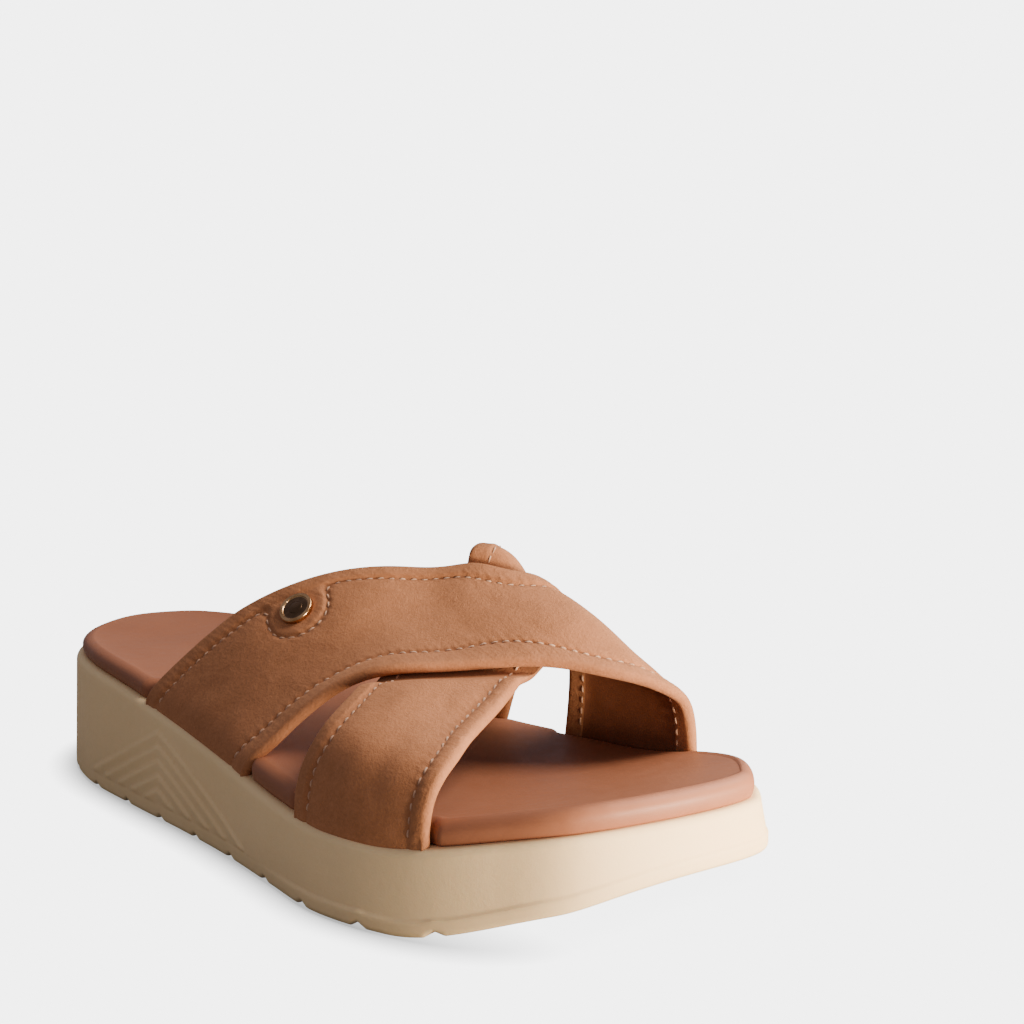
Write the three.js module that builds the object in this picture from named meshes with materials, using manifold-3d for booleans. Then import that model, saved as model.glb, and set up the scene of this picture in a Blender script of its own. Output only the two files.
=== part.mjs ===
// Crossed-strap platform slide sandal, right shoe.
// Millimetres. +X towards the toes, +Y towards the big-toe (medial) side, +Z up, standing on Z = 0.
import * as THREE from 'three';
import { mergeVertices } from 'three/addons/utils/BufferGeometryUtils.js';
import Module from 'manifold-3d';

const wasm = await Module();
wasm.setup();

// Driving dimensions of the last and the sole unit
const SOLE_LENGTH = 250;
const BALL_WIDTH = 98;
const INSTEP_HEIGHT = 52;
const HEEL_HEIGHT = 36.3;
const BALL_HEIGHT = 20.5;
const TOE_RISE = 9;
const TOE_SPRING = 13;
const TOE_BEVEL = 3.5;
const HEEL_BEVEL = 1;
const SOLE_FLARE = 1.2;
const RIM_ROUND = 2.2;
const BAND_HEIGHT = 4.6;
const BAND_PROUD = 0.5;
const BOTTOM_EDGE_ROUND = 1.6;

// Tread and the chevron ribs on the heel's sides
const GROOVE_PITCH = 20;
const GROOVE_FIRST = 27.5;
const GROOVE_COUNT = 10;
const GROOVE_DEPTH = 2;
const GROOVE_WIDTH = 5;
const CHEVRON_COUNT = 5;
const CHEVRON_X = 87;
const CHEVRON_TOP = 26.4;
const CHEVRON_PITCH = 4.2;
const CHEVRON_TOE_SLOPE = 0.42;
const CHEVRON_HEEL_SLOPE = 0.5;
const CHEVRON_FOOT = 2.2;
const RIB_HALF_WIDTH = 0.95;
const RIB_PROUD = 0.7;

// Footbed
const FOOTBED_INSET = 2;
const FOOTBED_THICKNESS = 6.2;
const FOOTBED_ROUND = 2.6;
const HEEL_CUP = 3;
const HEEL_EDGE_DROP = 1.4;
const ARCH_RISE = 2.5;

// Straps
const STRAP_INSET = 1.5;
const WALL = 2.4;
const HEM_RISE = 0.9;
const REAR_HEM = 6;
const OVER_FRONT_HEM = 6.8;
const UNDER_FRONT_HEM = 5;
const EDGE_ROUND = 0.9;
const POCKET_REACH = 3.5;
const MARGIN_REACH = 8;
const MARGIN_THICKNESS = 1.2;
const CROSSING_BLEND = 9;
const FUSE = 0.9;
const GAP = 0.3;
const SIDE_GAP = 0.8;

// Stud
const STUD_RADIUS = 5;
const STUD_RISE = 2.1;
const SHANK_RADIUS = 1.5;
const STUD_X = 0.465;
const STUD_ACROSS = 0.338;

// Mesh fineness
const SIMPLIFY = 0.01;
const SIDE_STEPS = 40;
const SECTION_STEPS = 64;
const STRAP_STEPS = 38;

// Outline of the sole unit: station as a share of the length, half widths as shares of the ball width
const OUTLINE = [
  { at: 0.030, lateral: 0.180, medial: 0.215 },
  { at: 0.080, lateral: 0.300, medial: 0.297 },
  { at: 0.160, lateral: 0.380, medial: 0.342 },
  { at: 0.280, lateral: 0.414, medial: 0.337 },
  { at: 0.400, lateral: 0.434, medial: 0.327 },
  { at: 0.500, lateral: 0.459, medial: 0.348 },
  { at: 0.600, lateral: 0.497, medial: 0.400 },
  { at: 0.700, lateral: 0.525, medial: 0.470 },
  { at: 0.800, lateral: 0.475, medial: 0.492 },
  { at: 0.880, lateral: 0.375, medial: 0.462 },
  { at: 0.945, lateral: 0.252, medial: 0.395 },
  { at: 0.985, lateral: 0.035, medial: 0.300 },
];
const HEEL_APEX = 0.02;
const TOE_APEX = 0.235;

// Sections of the last under the straps: station as a share of the length, then the lateral shoulder,
// the middle of the instep, its crest and the medial shoulder, each as a way in from its side of the
// rim (share of the ball width) and a height above the rim (share of the instep height)
const SECTIONS = [
  { at: 0.280, latIn: 0.041, latUp: 0.154, midIn: 0.347,
    midUp: 0.692, crestIn: 0.173, crestUp: 0.683, medIn: 0.051, medUp: 0.365 },
  { at: 0.392, latIn: 0.061, latUp: 0.231, midIn: 0.408,
    midUp: 0.865, crestIn: 0.153, crestUp: 0.817, medIn: 0.036, medUp: 0.462 },
  { at: 0.476, latIn: 0.077, latUp: 0.250, midIn: 0.469,
    midUp: 0.923, crestIn: 0.128, crestUp: 0.962, medIn: 0.020, medUp: 0.615 },
  { at: 0.528, latIn: 0.087, latUp: 0.240, midIn: 0.531,
    midUp: 0.933, crestIn: 0.097, crestUp: 1.000, medIn: 0.015, medUp: 0.721 },
  { at: 0.572, latIn: 0.097, latUp: 0.279, midIn: 0.561,
    midUp: 0.865, crestIn: 0.082, crestUp: 1.048, medIn: 0.015, medUp: 0.779 },
  { at: 0.600, latIn: 0.087, latUp: 0.337, midIn: 0.541,
    midUp: 0.788, crestIn: 0.077, crestUp: 1.077, medIn: 0.015, medUp: 0.760 },
  { at: 0.644, latIn: 0.071, latUp: 0.404, midIn: 0.510,
    midUp: 0.702, crestIn: 0.082, crestUp: 0.990, medIn: 0.020, medUp: 0.692 },
  { at: 0.688, latIn: 0.061, latUp: 0.413, midIn: 0.495,
    midUp: 0.644, crestIn: 0.097, crestUp: 0.913, medIn: 0.020, medUp: 0.635 },
  { at: 0.732, latIn: 0.061, latUp: 0.385, midIn: 0.490,
    midUp: 0.587, crestIn: 0.117, crestUp: 0.827, medIn: 0.026, medUp: 0.577 },
  { at: 0.792, latIn: 0.056, latUp: 0.337, midIn: 0.449,
    midUp: 0.481, crestIn: 0.117, crestUp: 0.644, medIn: 0.031, medUp: 0.490 },
  { at: 0.824, latIn: 0.051, latUp: 0.288, midIn: 0.429,
    midUp: 0.433, crestIn: 0.122, crestUp: 0.529, medIn: 0.031, medUp: 0.433 },
  { at: 0.880, latIn: 0.046, latUp: 0.221, midIn: 0.388,
    midUp: 0.346, crestIn: 0.128, crestUp: 0.356, medIn: 0.031, medUp: 0.260 },
];

// Edges of the straps: way round the last from the lateral rim (0) to the medial rim (1),
// and the station of the rear and front edge as shares of the length
const OVER_EDGES = [
  { across: 0.000, rear: 0.308, front: 0.531 },
  { across: 0.080, rear: 0.326, front: 0.556 },
  { across: 0.140, rear: 0.341, front: 0.570 },
  { across: 0.220, rear: 0.362, front: 0.594 },
  { across: 0.310, rear: 0.391, front: 0.634 },
  { across: 0.420, rear: 0.450, front: 0.690 },
  { across: 0.500, rear: 0.516, front: 0.735 },
  { across: 0.565, rear: 0.586, front: 0.770 },
  { across: 0.625, rear: 0.634, front: 0.802 },
  { across: 0.690, rear: 0.658, front: 0.826 },
  { across: 0.770, rear: 0.672, front: 0.846 },
  { across: 0.850, rear: 0.674, front: 0.850 },
  { across: 1.000, rear: 0.666, front: 0.850 },
];
const UNDER_EDGES = [
  { across: 0.000, rear: 0.640, front: 0.818 },
  { across: 0.080, rear: 0.646, front: 0.818 },
  { across: 0.140, rear: 0.654, front: 0.817 },
  { across: 0.200, rear: 0.648, front: 0.810 },
  { across: 0.280, rear: 0.624, front: 0.792 },
  { across: 0.375, rear: 0.601, front: 0.771 },
  { across: 0.480, rear: 0.590, front: 0.750 },
  { across: 0.570, rear: 0.587, front: 0.743 },
  { across: 0.640, rear: 0.576, front: 0.730 },
  { across: 0.700, rear: 0.557, front: 0.706 },
  { across: 0.770, rear: 0.522, front: 0.662 },
  { across: 0.860, rear: 0.472, front: 0.617 },
  { across: 1.000, rear: 0.436, front: 0.588 },
];

function smoothstep(from, to, value) {
  const share = Math.min(Math.max((value - from) / (to - from), 0), 1);
  return share * share * (3 - 2 * share);
}

function lerp(from, to, share) {
  return from + (to - from) * share;
}

// Value of a column of a table at a place, straight between its rows
function lookUp(table, key, column, place) {
  let row = 1;
  while (row < table.length - 1 && table[row][key] < place) row += 1;
  const before = table[row - 1];
  const after = table[row];
  const share = Math.min(Math.max((place - before[key]) / (after[key] - before[key]), 0), 1);
  return lerp(before[column], after[column], share);
}

// Smooth value of a column at a place: Catmull-Rom through the table's rows
function lookUpSmooth(table, key, column, place) {
  let row = 1;
  while (row < table.length - 1 && table[row][key] < place) row += 1;
  const inTable = (index) => table[Math.min(Math.max(index, 0), table.length - 1)];
  const rows = [row - 2, row - 1, row, row + 1].map(inTable);
  const [p0, p1, p2, p3] = rows;
  const span = p2[key] - p1[key];
  const u = Math.min(Math.max((place - p1[key]) / span, 0), 1);
  const slopeIn = (p2[column] - p0[column]) / (p2[key] - p0[key]);
  const slopeOut = (p3[column] - p1[column]) / (p3[key] - p1[key]);
  const h00 = 2 * u ** 3 - 3 * u ** 2 + 1;
  const h10 = u ** 3 - 2 * u ** 2 + u;
  const h01 = -2 * u ** 3 + 3 * u ** 2;
  const h11 = u ** 3 - u ** 2;
  return h00 * p1[column] + h10 * span * slopeIn + h01 * p2[column] + h11 * span * slopeOut;
}

// Height of the sole unit's top and bottom at a length station
function topHeight(x) {
  const at = x / SOLE_LENGTH;
  const heel = (HEEL_HEIGHT - BALL_HEIGHT) * (1 - smoothstep(0.12, 0.70, at));
  return BALL_HEIGHT + heel + TOE_RISE * smoothstep(0.75, 1, at);
}

function bottomHeight(x) {
  const at = x / SOLE_LENGTH;
  const toe = TOE_SPRING * smoothstep(0.78, 1, at) + TOE_BEVEL * smoothstep(0.93, 1, at);
  return toe + HEEL_BEVEL * (1 - smoothstep(0, 0.08, at));
}

// Closed outline as dense points, from the heel along the lateral side to the toe and back
function makeOutline() {
  const points = [new THREE.Vector3(0, HEEL_APEX * BALL_WIDTH, 0)];
  for (const row of OUTLINE) {
    points.push(new THREE.Vector3(row.at * SOLE_LENGTH, -row.lateral * BALL_WIDTH, 0));
  }
  points.push(new THREE.Vector3(SOLE_LENGTH, TOE_APEX * BALL_WIDTH, 0));
  for (const row of [...OUTLINE].reverse()) {
    points.push(new THREE.Vector3(row.at * SOLE_LENGTH, row.medial * BALL_WIDTH, 0));
  }
  const curve = new THREE.CatmullRomCurve3(points, true, 'centripetal');
  const dense = 16 * points.length;
  return Array.from({ length: dense }, (_, index) => curve.getPoint(index / dense));
}

const outlineDense = makeOutline();
const TOE_INDEX = 16 * (OUTLINE.length + 1);

// Points with their inward normals, evenly along each side: heel, lateral side, toe, medial side
function evenOutline() {
  const halves = [outlineDense.slice(0, TOE_INDEX + 1), [...outlineDense.slice(TOE_INDEX), outlineDense[0]]];
  const ring = [];
  for (const half of halves) {
    const path = new THREE.CurvePath();
    for (let index = 1; index < half.length; index += 1) {
      path.add(new THREE.LineCurve3(half[index - 1], half[index]));
    }
    for (let step = 0; step < SIDE_STEPS; step += 1) ring.push(path.getPointAt(step / SIDE_STEPS));
  }
  return ring.map((point, index) => {
    const before = ring[(index + ring.length - 1) % ring.length];
    const after = ring[(index + 1) % ring.length];
    const along = new THREE.Vector3().subVectors(after, before).normalize();
    return { point, inward: new THREE.Vector3(-along.y, along.x, 0) };
  });
}

const ringBase = evenOutline();

// One ring of the outline moved inwards, at a height given by a function of its place
function ringAt(inset, height) {
  return ringBase.map(({ point, inward }) => {
    const moved = point.clone().addScaledVector(inward, inset);
    moved.z = height(moved.x, moved.y);
    return moved;
  });
}

// Table of one side's half width against the station, for the outline moved inwards
function sideTable(inset, medial) {
  const count = outlineDense.length;
  const table = [];
  const first = medial ? TOE_INDEX : 0;
  const last = medial ? count : TOE_INDEX;
  for (let index = first; index <= last; index += 1) {
    const here = outlineDense[index % count];
    const before = outlineDense[(index + count - 1) % count];
    const after = outlineDense[(index + 1) % count];
    const along = new THREE.Vector3().subVectors(after, before).normalize();
    table.push({ x: here.x - along.y * inset, y: here.y + along.x * inset });
  }
  return table.sort((one, other) => one.x - other.x);
}

const strapLine = [sideTable(STRAP_INSET, false), sideTable(STRAP_INSET, true)];
const wallLine = [sideTable(0, false), sideTable(0, true)];

// Section of the last at a station, as points evenly spaced along its arc
function makeSection(x) {
  const at = x / SOLE_LENGTH;
  const value = (column) => lookUpSmooth(SECTIONS, 'at', column, at);
  const lateral = lookUp(strapLine[0], 'x', 'y', x);
  const medial = lookUp(strapLine[1], 'x', 'y', x);
  const rim = topHeight(x) + GAP;
  const knots = [
    [lateral, rim],
    [lateral + value('latIn') * BALL_WIDTH, rim + value('latUp') * INSTEP_HEIGHT],
    [lateral + value('midIn') * BALL_WIDTH, rim + value('midUp') * INSTEP_HEIGHT],
    [medial - value('crestIn') * BALL_WIDTH, rim + value('crestUp') * INSTEP_HEIGHT],
    [medial - value('medIn') * BALL_WIDTH, rim + value('medUp') * INSTEP_HEIGHT],
    [medial, rim],
  ].map(([y, z]) => new THREE.Vector2(y, z));
  return evenCurve(knots, SECTION_STEPS);
}

// Centripetal Catmull-Rom curve that leaves and meets its ends upright, resampled by arc length
function evenCurve(knots, steps) {
  const spans = [];
  for (let index = 1; index < knots.length; index += 1) {
    spans.push(Math.sqrt(knots[index].distanceTo(knots[index - 1])));
  }
  const tangents = knots.map((knot, index) => {
    if (index === 0) return new THREE.Vector2(0, spans[0]);
    if (index === knots.length - 1) return new THREE.Vector2(0, -spans[index - 1]);
    const before = new THREE.Vector2().subVectors(knot, knots[index - 1]).divideScalar(spans[index - 1]);
    const after = new THREE.Vector2().subVectors(knots[index + 1], knot).divideScalar(spans[index]);
    const chord = new THREE.Vector2().subVectors(knots[index + 1], knots[index - 1]);
    chord.divideScalar(spans[index - 1] + spans[index]);
    return before.sub(chord).add(after);
  });
  const fine = [];
  const perSpan = 16;
  for (let index = 0; index < spans.length; index += 1) {
    for (let step = 0; step < perSpan; step += 1) {
      const u = step / perSpan;
      const point = new THREE.Vector2();
      point.addScaledVector(knots[index], 2 * u ** 3 - 3 * u ** 2 + 1);
      point.addScaledVector(tangents[index], (u ** 3 - 2 * u ** 2 + u) * spans[index]);
      point.addScaledVector(knots[index + 1], -2 * u ** 3 + 3 * u ** 2);
      point.addScaledVector(tangents[index + 1], (u ** 3 - u ** 2) * spans[index]);
      fine.push(point);
    }
  }
  fine.push(knots[knots.length - 1].clone());
  const lengths = [0];
  for (let index = 1; index < fine.length; index += 1) {
    lengths.push(lengths[index - 1] + fine[index].distanceTo(fine[index - 1]));
  }
  const even = [];
  let segment = 1;
  for (let step = 0; step <= steps; step += 1) {
    const wanted = (step / steps) * lengths[lengths.length - 1];
    while (segment < fine.length - 1 && lengths[segment] < wanted) segment += 1;
    const share = (wanted - lengths[segment - 1]) / (lengths[segment] - lengths[segment - 1]);
    even.push(new THREE.Vector2().lerpVectors(fine[segment - 1], fine[segment], share));
  }
  return even;
}

// Sections are worked out once for every millimetre of length, and read between those
const sectionCache = new Map();

function cachedSection(x) {
  if (!sectionCache.has(x)) sectionCache.set(x, makeSection(x));
  return sectionCache.get(x);
}

// Point of the last's outer surface at a station and a way across from 0 to 1
function lastPoint(x, across) {
  const low = Math.floor(x);
  const place = Math.min(Math.max(across, 0), 1) * SECTION_STEPS;
  const index = Math.min(Math.floor(place), SECTION_STEPS - 1);
  const point = (station) => {
    const section = cachedSection(station);
    return new THREE.Vector2().lerpVectors(section[index], section[index + 1], place - index);
  };
  const flat = point(low).lerp(point(low + 1), x - low);
  return new THREE.Vector3(x, flat.x, flat.y);
}

function lastNormal(x, across) {
  const step = 0.012;
  const ahead = lastPoint(x + 1, across).sub(lastPoint(x - 1, across));
  const round = lastPoint(x, across + step).sub(lastPoint(x, across - step));
  return ahead.cross(round).normalize();
}

// Solids

function meshFrom(triangles) {
  const geometry = new THREE.BufferGeometry();
  const numbers = new Float32Array(triangles.length * 3);
  triangles.forEach((corner, index) => numbers.set([corner.x, corner.y, corner.z], index * 3));
  geometry.setAttribute('position', new THREE.BufferAttribute(numbers, 3));
  return mergeVertices(geometry, 1e-4);
}

function toSolid(geometry) {
  const source = geometry.clone();
  source.deleteAttribute('normal');
  source.deleteAttribute('uv');
  const merged = mergeVertices(source, 1e-4);
  const vertProperties = Float32Array.from(merged.attributes.position.array);
  const triVerts = Uint32Array.from(merged.index.array);
  return new wasm.Manifold(new wasm.Mesh({ numProp: 3, vertProperties, triVerts }));
}

function toGeometry(solid) {
  const mesh = solid.getMesh();
  const geometry = new THREE.BufferGeometry();
  geometry.setAttribute('position', new THREE.BufferAttribute(Float32Array.from(mesh.vertProperties), 3));
  geometry.setIndex(new THREE.BufferAttribute(Uint32Array.from(mesh.triVerts), 1));
  geometry.computeVertexNormals();
  return geometry;
}

function quad(triangles, a, b, c, d) {
  triangles.push(a, b, c, a, c, d);
}

// Faces between the two sides of a ring, following a height function across
function capRing(triangles, ring, height, across, facingUp) {
  const row = (station) => {
    const lateral = ring[station];
    const medial = ring[(2 * SIDE_STEPS - station) % (2 * SIDE_STEPS)];
    return Array.from({ length: across + 1 }, (_, step) => {
      if (step === 0 || station === 0 || station === SIDE_STEPS) return lateral;
      if (step === across) return medial;
      const point = new THREE.Vector3().lerpVectors(lateral, medial, step / across);
      point.z = height(point.x, point.y, step / across);
      return point;
    });
  };
  for (let station = 0; station < SIDE_STEPS; station += 1) {
    const here = row(station);
    const next = row(station + 1);
    for (let step = 0; step < across; step += 1) {
      const corners = [here[step], next[step], next[step + 1], here[step + 1]];
      if (!facingUp) corners.reverse();
      const open = corners.filter((corner, index) => corner.distanceTo(corners[(index + 3) % 4]) > 1e-6);
      if (open.length === 4) quad(triangles, ...corners);
      if (open.length === 3) triangles.push(...open);
    }
  }
}

// Closed body between a lowest and a highest ring
function ringBody(rings, bottom, top, across) {
  const triangles = [];
  for (let level = 1; level < rings.length; level += 1) {
    const low = rings[level - 1];
    const high = rings[level];
    low.forEach((point, index) => {
      const next = (index + 1) % low.length;
      quad(triangles, point, low[next], high[next], high[index]);
    });
  }
  capRing(triangles, rings[0], bottom, across, false);
  capRing(triangles, rings[rings.length - 1], top, across, true);
  return toSolid(meshFrom(triangles));
}

// Sole unit: moulded foam with a rounded rim, a flare and a step band round the forefoot
function bandProud(x) {
  return BAND_PROUD * smoothstep(0.52, 0.64, x / SOLE_LENGTH);
}

function makeSoleBlank() {
  const between = (share) => (x) => lerp(bottomHeight(x), topHeight(x), share);
  const above = (lift) => (x) => bottomHeight(x) + lift;
  const below = (drop) => (x) => topHeight(x) - drop;
  const bandRing = (lift, inset) => ringBase.map(({ point, inward }) => {
    const moved = point.clone().addScaledVector(inward, inset - bandProud(point.x));
    moved.z = bottomHeight(moved.x) + lift;
    return moved;
  });
  const rings = [
    ringAt(BOTTOM_EDGE_ROUND - SOLE_FLARE, above(0)),
    bandRing(BOTTOM_EDGE_ROUND * 0.8, -SOLE_FLARE),
    bandRing(BAND_HEIGHT - 0.3, -SOLE_FLARE * 0.9),
    ringAt(-SOLE_FLARE * 0.8, above(BAND_HEIGHT + 0.5)),
    ringAt(-SOLE_FLARE * 0.45, between(0.5)),
    ringAt(0, below(RIM_ROUND * 1.5)),
    ringAt(RIM_ROUND * 0.3, below(RIM_ROUND * 0.3)),
    ringAt(RIM_ROUND * 0.8, below(0)),
  ];
  return ringBody(rings, bottomHeight, topHeight, 4);
}

// A cross groove of the tread, open at both sides, following the bottom
function makeGroove(x) {
  const floor = bottomHeight(x);
  const shape = new THREE.Shape([
    new THREE.Vector2(-GROOVE_WIDTH, -GROOVE_WIDTH),
    new THREE.Vector2(GROOVE_WIDTH, -GROOVE_WIDTH),
    new THREE.Vector2(GROOVE_WIDTH / 2, 0),
    new THREE.Vector2(0, GROOVE_DEPTH),
    new THREE.Vector2(-GROOVE_WIDTH / 2, 0),
  ]);
  const reach = 2 * BALL_WIDTH;
  const geometry = new THREE.ExtrudeGeometry(shape, { depth: reach, bevelEnabled: false });
  geometry.rotateX(Math.PI / 2);
  geometry.translate(x, reach / 2, floor);
  return toSolid(geometry);
}

// One arm of a chevron: a low rib that follows the side wall
function makeRibArm(side, apexHeight, endX) {
  const steps = Math.max(3, Math.round(Math.abs(endX - CHEVRON_X) / 9));
  const line = wallLine[side];
  const out = side === 0 ? -1 : 1;
  const endHeight = CHEVRON_FOOT;
  const loop = (share) => {
    const x = lerp(CHEVRON_X, endX, share);
    const z = lerp(apexHeight, endHeight, share);
    const flare = SOLE_FLARE * lerp(0.8, 0.2, z / topHeight(x));
    const wall = lookUp(line, 'x', 'y', x) + out * flare;
    return [
      [RIB_HALF_WIDTH * 1.3, -0.9], [RIB_HALF_WIDTH * 0.4, RIB_PROUD],
      [-RIB_HALF_WIDTH * 0.4, RIB_PROUD], [-RIB_HALF_WIDTH * 1.3, -0.9],
    ].map(([up, proud]) => new THREE.Vector3(x, wall + out * proud, z + up));
  };
  const rows = Array.from({ length: steps + 1 }, (_, step) => loop(step / steps));
  return loftSolid(rows);
}

// Closed body through loops of equal count whose ends are capped as strips
function loftSolid(rows) {
  const triangles = [];
  const count = rows[0].length;
  for (let row = 1; row < rows.length; row += 1) {
    for (let index = 0; index < count; index += 1) {
      const next = (index + 1) % count;
      quad(triangles, rows[row - 1][index], rows[row - 1][next], rows[row][next], rows[row][index]);
    }
  }
  const capEnd = (loop, flip) => {
    for (let index = 0; index < count / 2 - 1; index += 1) {
      const corners = [loop[index], loop[index + 1], loop[count - 2 - index], loop[count - 1 - index]];
      if (flip) corners.reverse();
      quad(triangles, ...corners);
    }
  };
  capEnd(rows[0], true);
  capEnd(rows[rows.length - 1], false);
  const geometry = meshFrom(triangles);
  if (signedVolume(geometry) < 0) geometry.index.array.reverse();
  return toSolid(geometry);
}

function signedVolume(geometry) {
  const position = geometry.attributes.position;
  const index = geometry.index;
  const corner = (number) => new THREE.Vector3().fromBufferAttribute(position, index.getX(number));
  let volume = 0;
  for (let number = 0; number < index.count; number += 3) {
    volume += corner(number).dot(corner(number + 1).cross(corner(number + 2))) / 6;
  }
  return volume;
}

function makeSoleUnit() {
  let solid = makeSoleBlank();
  for (let number = 0; number < CHEVRON_COUNT; number += 1) {
    const apex = CHEVRON_TOP - number * CHEVRON_PITCH;
    const toeEnd = CHEVRON_X + (apex - CHEVRON_FOOT) / CHEVRON_TOE_SLOPE;
    const heelEnd = CHEVRON_X - (apex - CHEVRON_FOOT) / CHEVRON_HEEL_SLOPE;
    for (const side of [0, 1]) {
      for (const end of [toeEnd, heelEnd]) solid = solid.add(makeRibArm(side, apex, end));
    }
  }
  for (let number = 0; number < GROOVE_COUNT; number += 1) {
    solid = solid.subtract(makeGroove(GROOVE_FIRST + number * GROOVE_PITCH));
  }
  return solid;
}

// Footbed: padded insole with a rounded edge, a heel cup and a raised arch
function footbedEdge(x) {
  const drop = HEEL_EDGE_DROP * (1 - smoothstep(0.05, 0.5, x / SOLE_LENGTH));
  return topHeight(x) + FOOTBED_THICKNESS - drop;
}

function footbedTop(x, y, share) {
  const at = x / SOLE_LENGTH;
  const inner = Math.sin(Math.PI * share);
  const cup = HEEL_CUP * smoothstep(0, 0.14, at) * (1 - smoothstep(0.18, 0.45, at)) * inner ** 0.7;
  const arch = ARCH_RISE * Math.exp(-(((at - 0.42) / 0.13) ** 2)) * smoothstep(0.55, 0.9, share) * inner;
  const ball = 0.8 * Math.exp(-(((at - 0.74) / 0.16) ** 2)) * inner;
  return footbedEdge(x) - cup + arch - ball;
}

function makeFootbedBlank() {
  const above = (lift) => (x) => topHeight(x) + lift;
  const belowEdge = (drop) => (x) => footbedEdge(x) - drop;
  const rings = [
    ringAt(FOOTBED_INSET + 0.5, above(GAP)),
    ringAt(FOOTBED_INSET, above(GAP + 0.7)),
    ringAt(FOOTBED_INSET, belowEdge(FOOTBED_ROUND)),
    ringAt(FOOTBED_INSET + FOOTBED_ROUND * 0.3, belowEdge(FOOTBED_ROUND * 0.3)),
    ringAt(FOOTBED_INSET + FOOTBED_ROUND, belowEdge(0)),
  ];
  return ringBody(rings, above(GAP), footbedTop, 8);
}

// A strap: rows of loops round its cross section, from the lateral margin to the medial margin.
// A loop runs along the outer face from the rear edge to the front edge and back along the inner face.
// With a clearance, the loop is the pocket for the strap: grown all round and open outwards.
function strapProfile(width, frontHem, clearance, reach) {
  const hems = [
    [0, -EDGE_ROUND], [0.8, 0.35], [REAR_HEM * 0.5, HEM_RISE], [REAR_HEM, 0],
    [width * 0.38, 0], [width * 0.66, 0],
    [width - frontHem, 0], [width - frontHem * 0.45, HEM_RISE], [width - 0.8, 0.35],
    [width, -EDGE_ROUND],
  ];
  const last = hems.length - 1;
  const side = (index) => (index === 0 ? -1 : Number(index === last));
  const outer = hems.map(([place, rise], index) => {
    if (clearance === 0) return [place, rise];
    return [place + side(index) * SIDE_GAP, reach];
  });
  const inner = outer.map(([place], index) => {
    const tuck = clearance === 0 ? 0.25 : 0;
    return [place - side(index) * tuck, -WALL - clearance];
  });
  return { outer, inner: inner.reverse() };
}

// How far the under strap drops beneath the over strap, from 0 to 1
function crossingShare(x, across) {
  const rear = lookUpSmooth(OVER_EDGES, 'across', 'rear', across) * SOLE_LENGTH;
  const front = lookUpSmooth(OVER_EDGES, 'across', 'front', across) * SOLE_LENGTH;
  return 1 - smoothstep(0, CROSSING_BLEND, Math.max(rear - x, x - front));
}

function makeStrap(edges, isUnder, grow = 0, reach = 0) {
  const rearAt = (across) => lookUpSmooth(edges, 'across', 'rear', across) * SOLE_LENGTH;
  const frontAt = (across) => lookUpSmooth(edges, 'across', 'front', across) * SOLE_LENGTH;
  const frontHem = isUnder ? UNDER_FRONT_HEM : OVER_FRONT_HEM;
  const drop = (x, across) => (isUnder ? (WALL - FUSE) * crossingShare(x, across) : 0);

  // Length across the strap, and how much longer that is than square to its edges
  const widthAt = (across) => {
    const rear = rearAt(across);
    const front = frontAt(across);
    const chord = lastPoint(front, across).sub(lastPoint(rear, across));
    const step = 0.02;
    const low = Math.max(across - step, 0);
    const high = Math.min(across + step, 1);
    const middle = (place) => lastPoint((rearAt(place) + frontAt(place)) / 2, place);
    const along = middle(high).sub(middle(low)).normalize();
    const square = chord.clone().normalize().cross(along).length();
    return { length: chord.length(), square: Math.max(square, 0.55) };
  };

  const row = (across, kind) => {
    const rear = rearAt(across);
    const front = frontAt(across);
    const { length, square } = widthAt(across);
    const profile = strapProfile(length * square, frontHem, grow, reach);
    const place = (distance) => lerp(rear, front, distance / (length * square));
    const pointAt = (distance, offset, isInner) => {
      const x = place(distance);
      const base = lastPoint(x, across);
      const normal = lastNormal(x, across);
      if (kind === 'wall') return base.addScaledVector(normal, offset - drop(x, across));
      const sideways = new THREE.Vector3(normal.x, normal.y, 0).normalize();
      const inwards = kind === 'corner' ? offset : -WALL - MARGIN_REACH - grow;
      base.addScaledVector(sideways, inwards);
      const floor = topHeight(base.x) + GAP;
      base.z = isInner ? floor + MARGIN_THICKNESS + grow : floor - 2 * grow;
      return base;
    };
    return [
      ...profile.outer.map(([distance, offset]) => pointAt(distance, offset, false)),
      ...profile.inner.map(([distance, offset]) => pointAt(distance, offset, true)),
    ];
  };

  const foot = 0.85 / STRAP_STEPS;
  const rows = [row(0, 'margin'), row(0, 'corner'), row(foot, 'wall')];
  for (let step = 1; step < STRAP_STEPS; step += 1) rows.push(row(step / STRAP_STEPS, 'wall'));
  rows.push(row(1 - foot, 'wall'), row(1, 'corner'), row(1, 'margin'));
  return loftSolid(rows);
}

// Stud: a domed disc with a raised rim and a shank through the strap
function studFrame() {
  const x = STUD_X * SOLE_LENGTH;
  const normal = lastNormal(x, STUD_ACROSS);
  const place = lastPoint(x, STUD_ACROSS);
  const turn = new THREE.Quaternion().setFromUnitVectors(new THREE.Vector3(0, 0, 1), normal);
  return new THREE.Matrix4().compose(place, turn, new THREE.Vector3(1, 1, 1));
}

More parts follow.
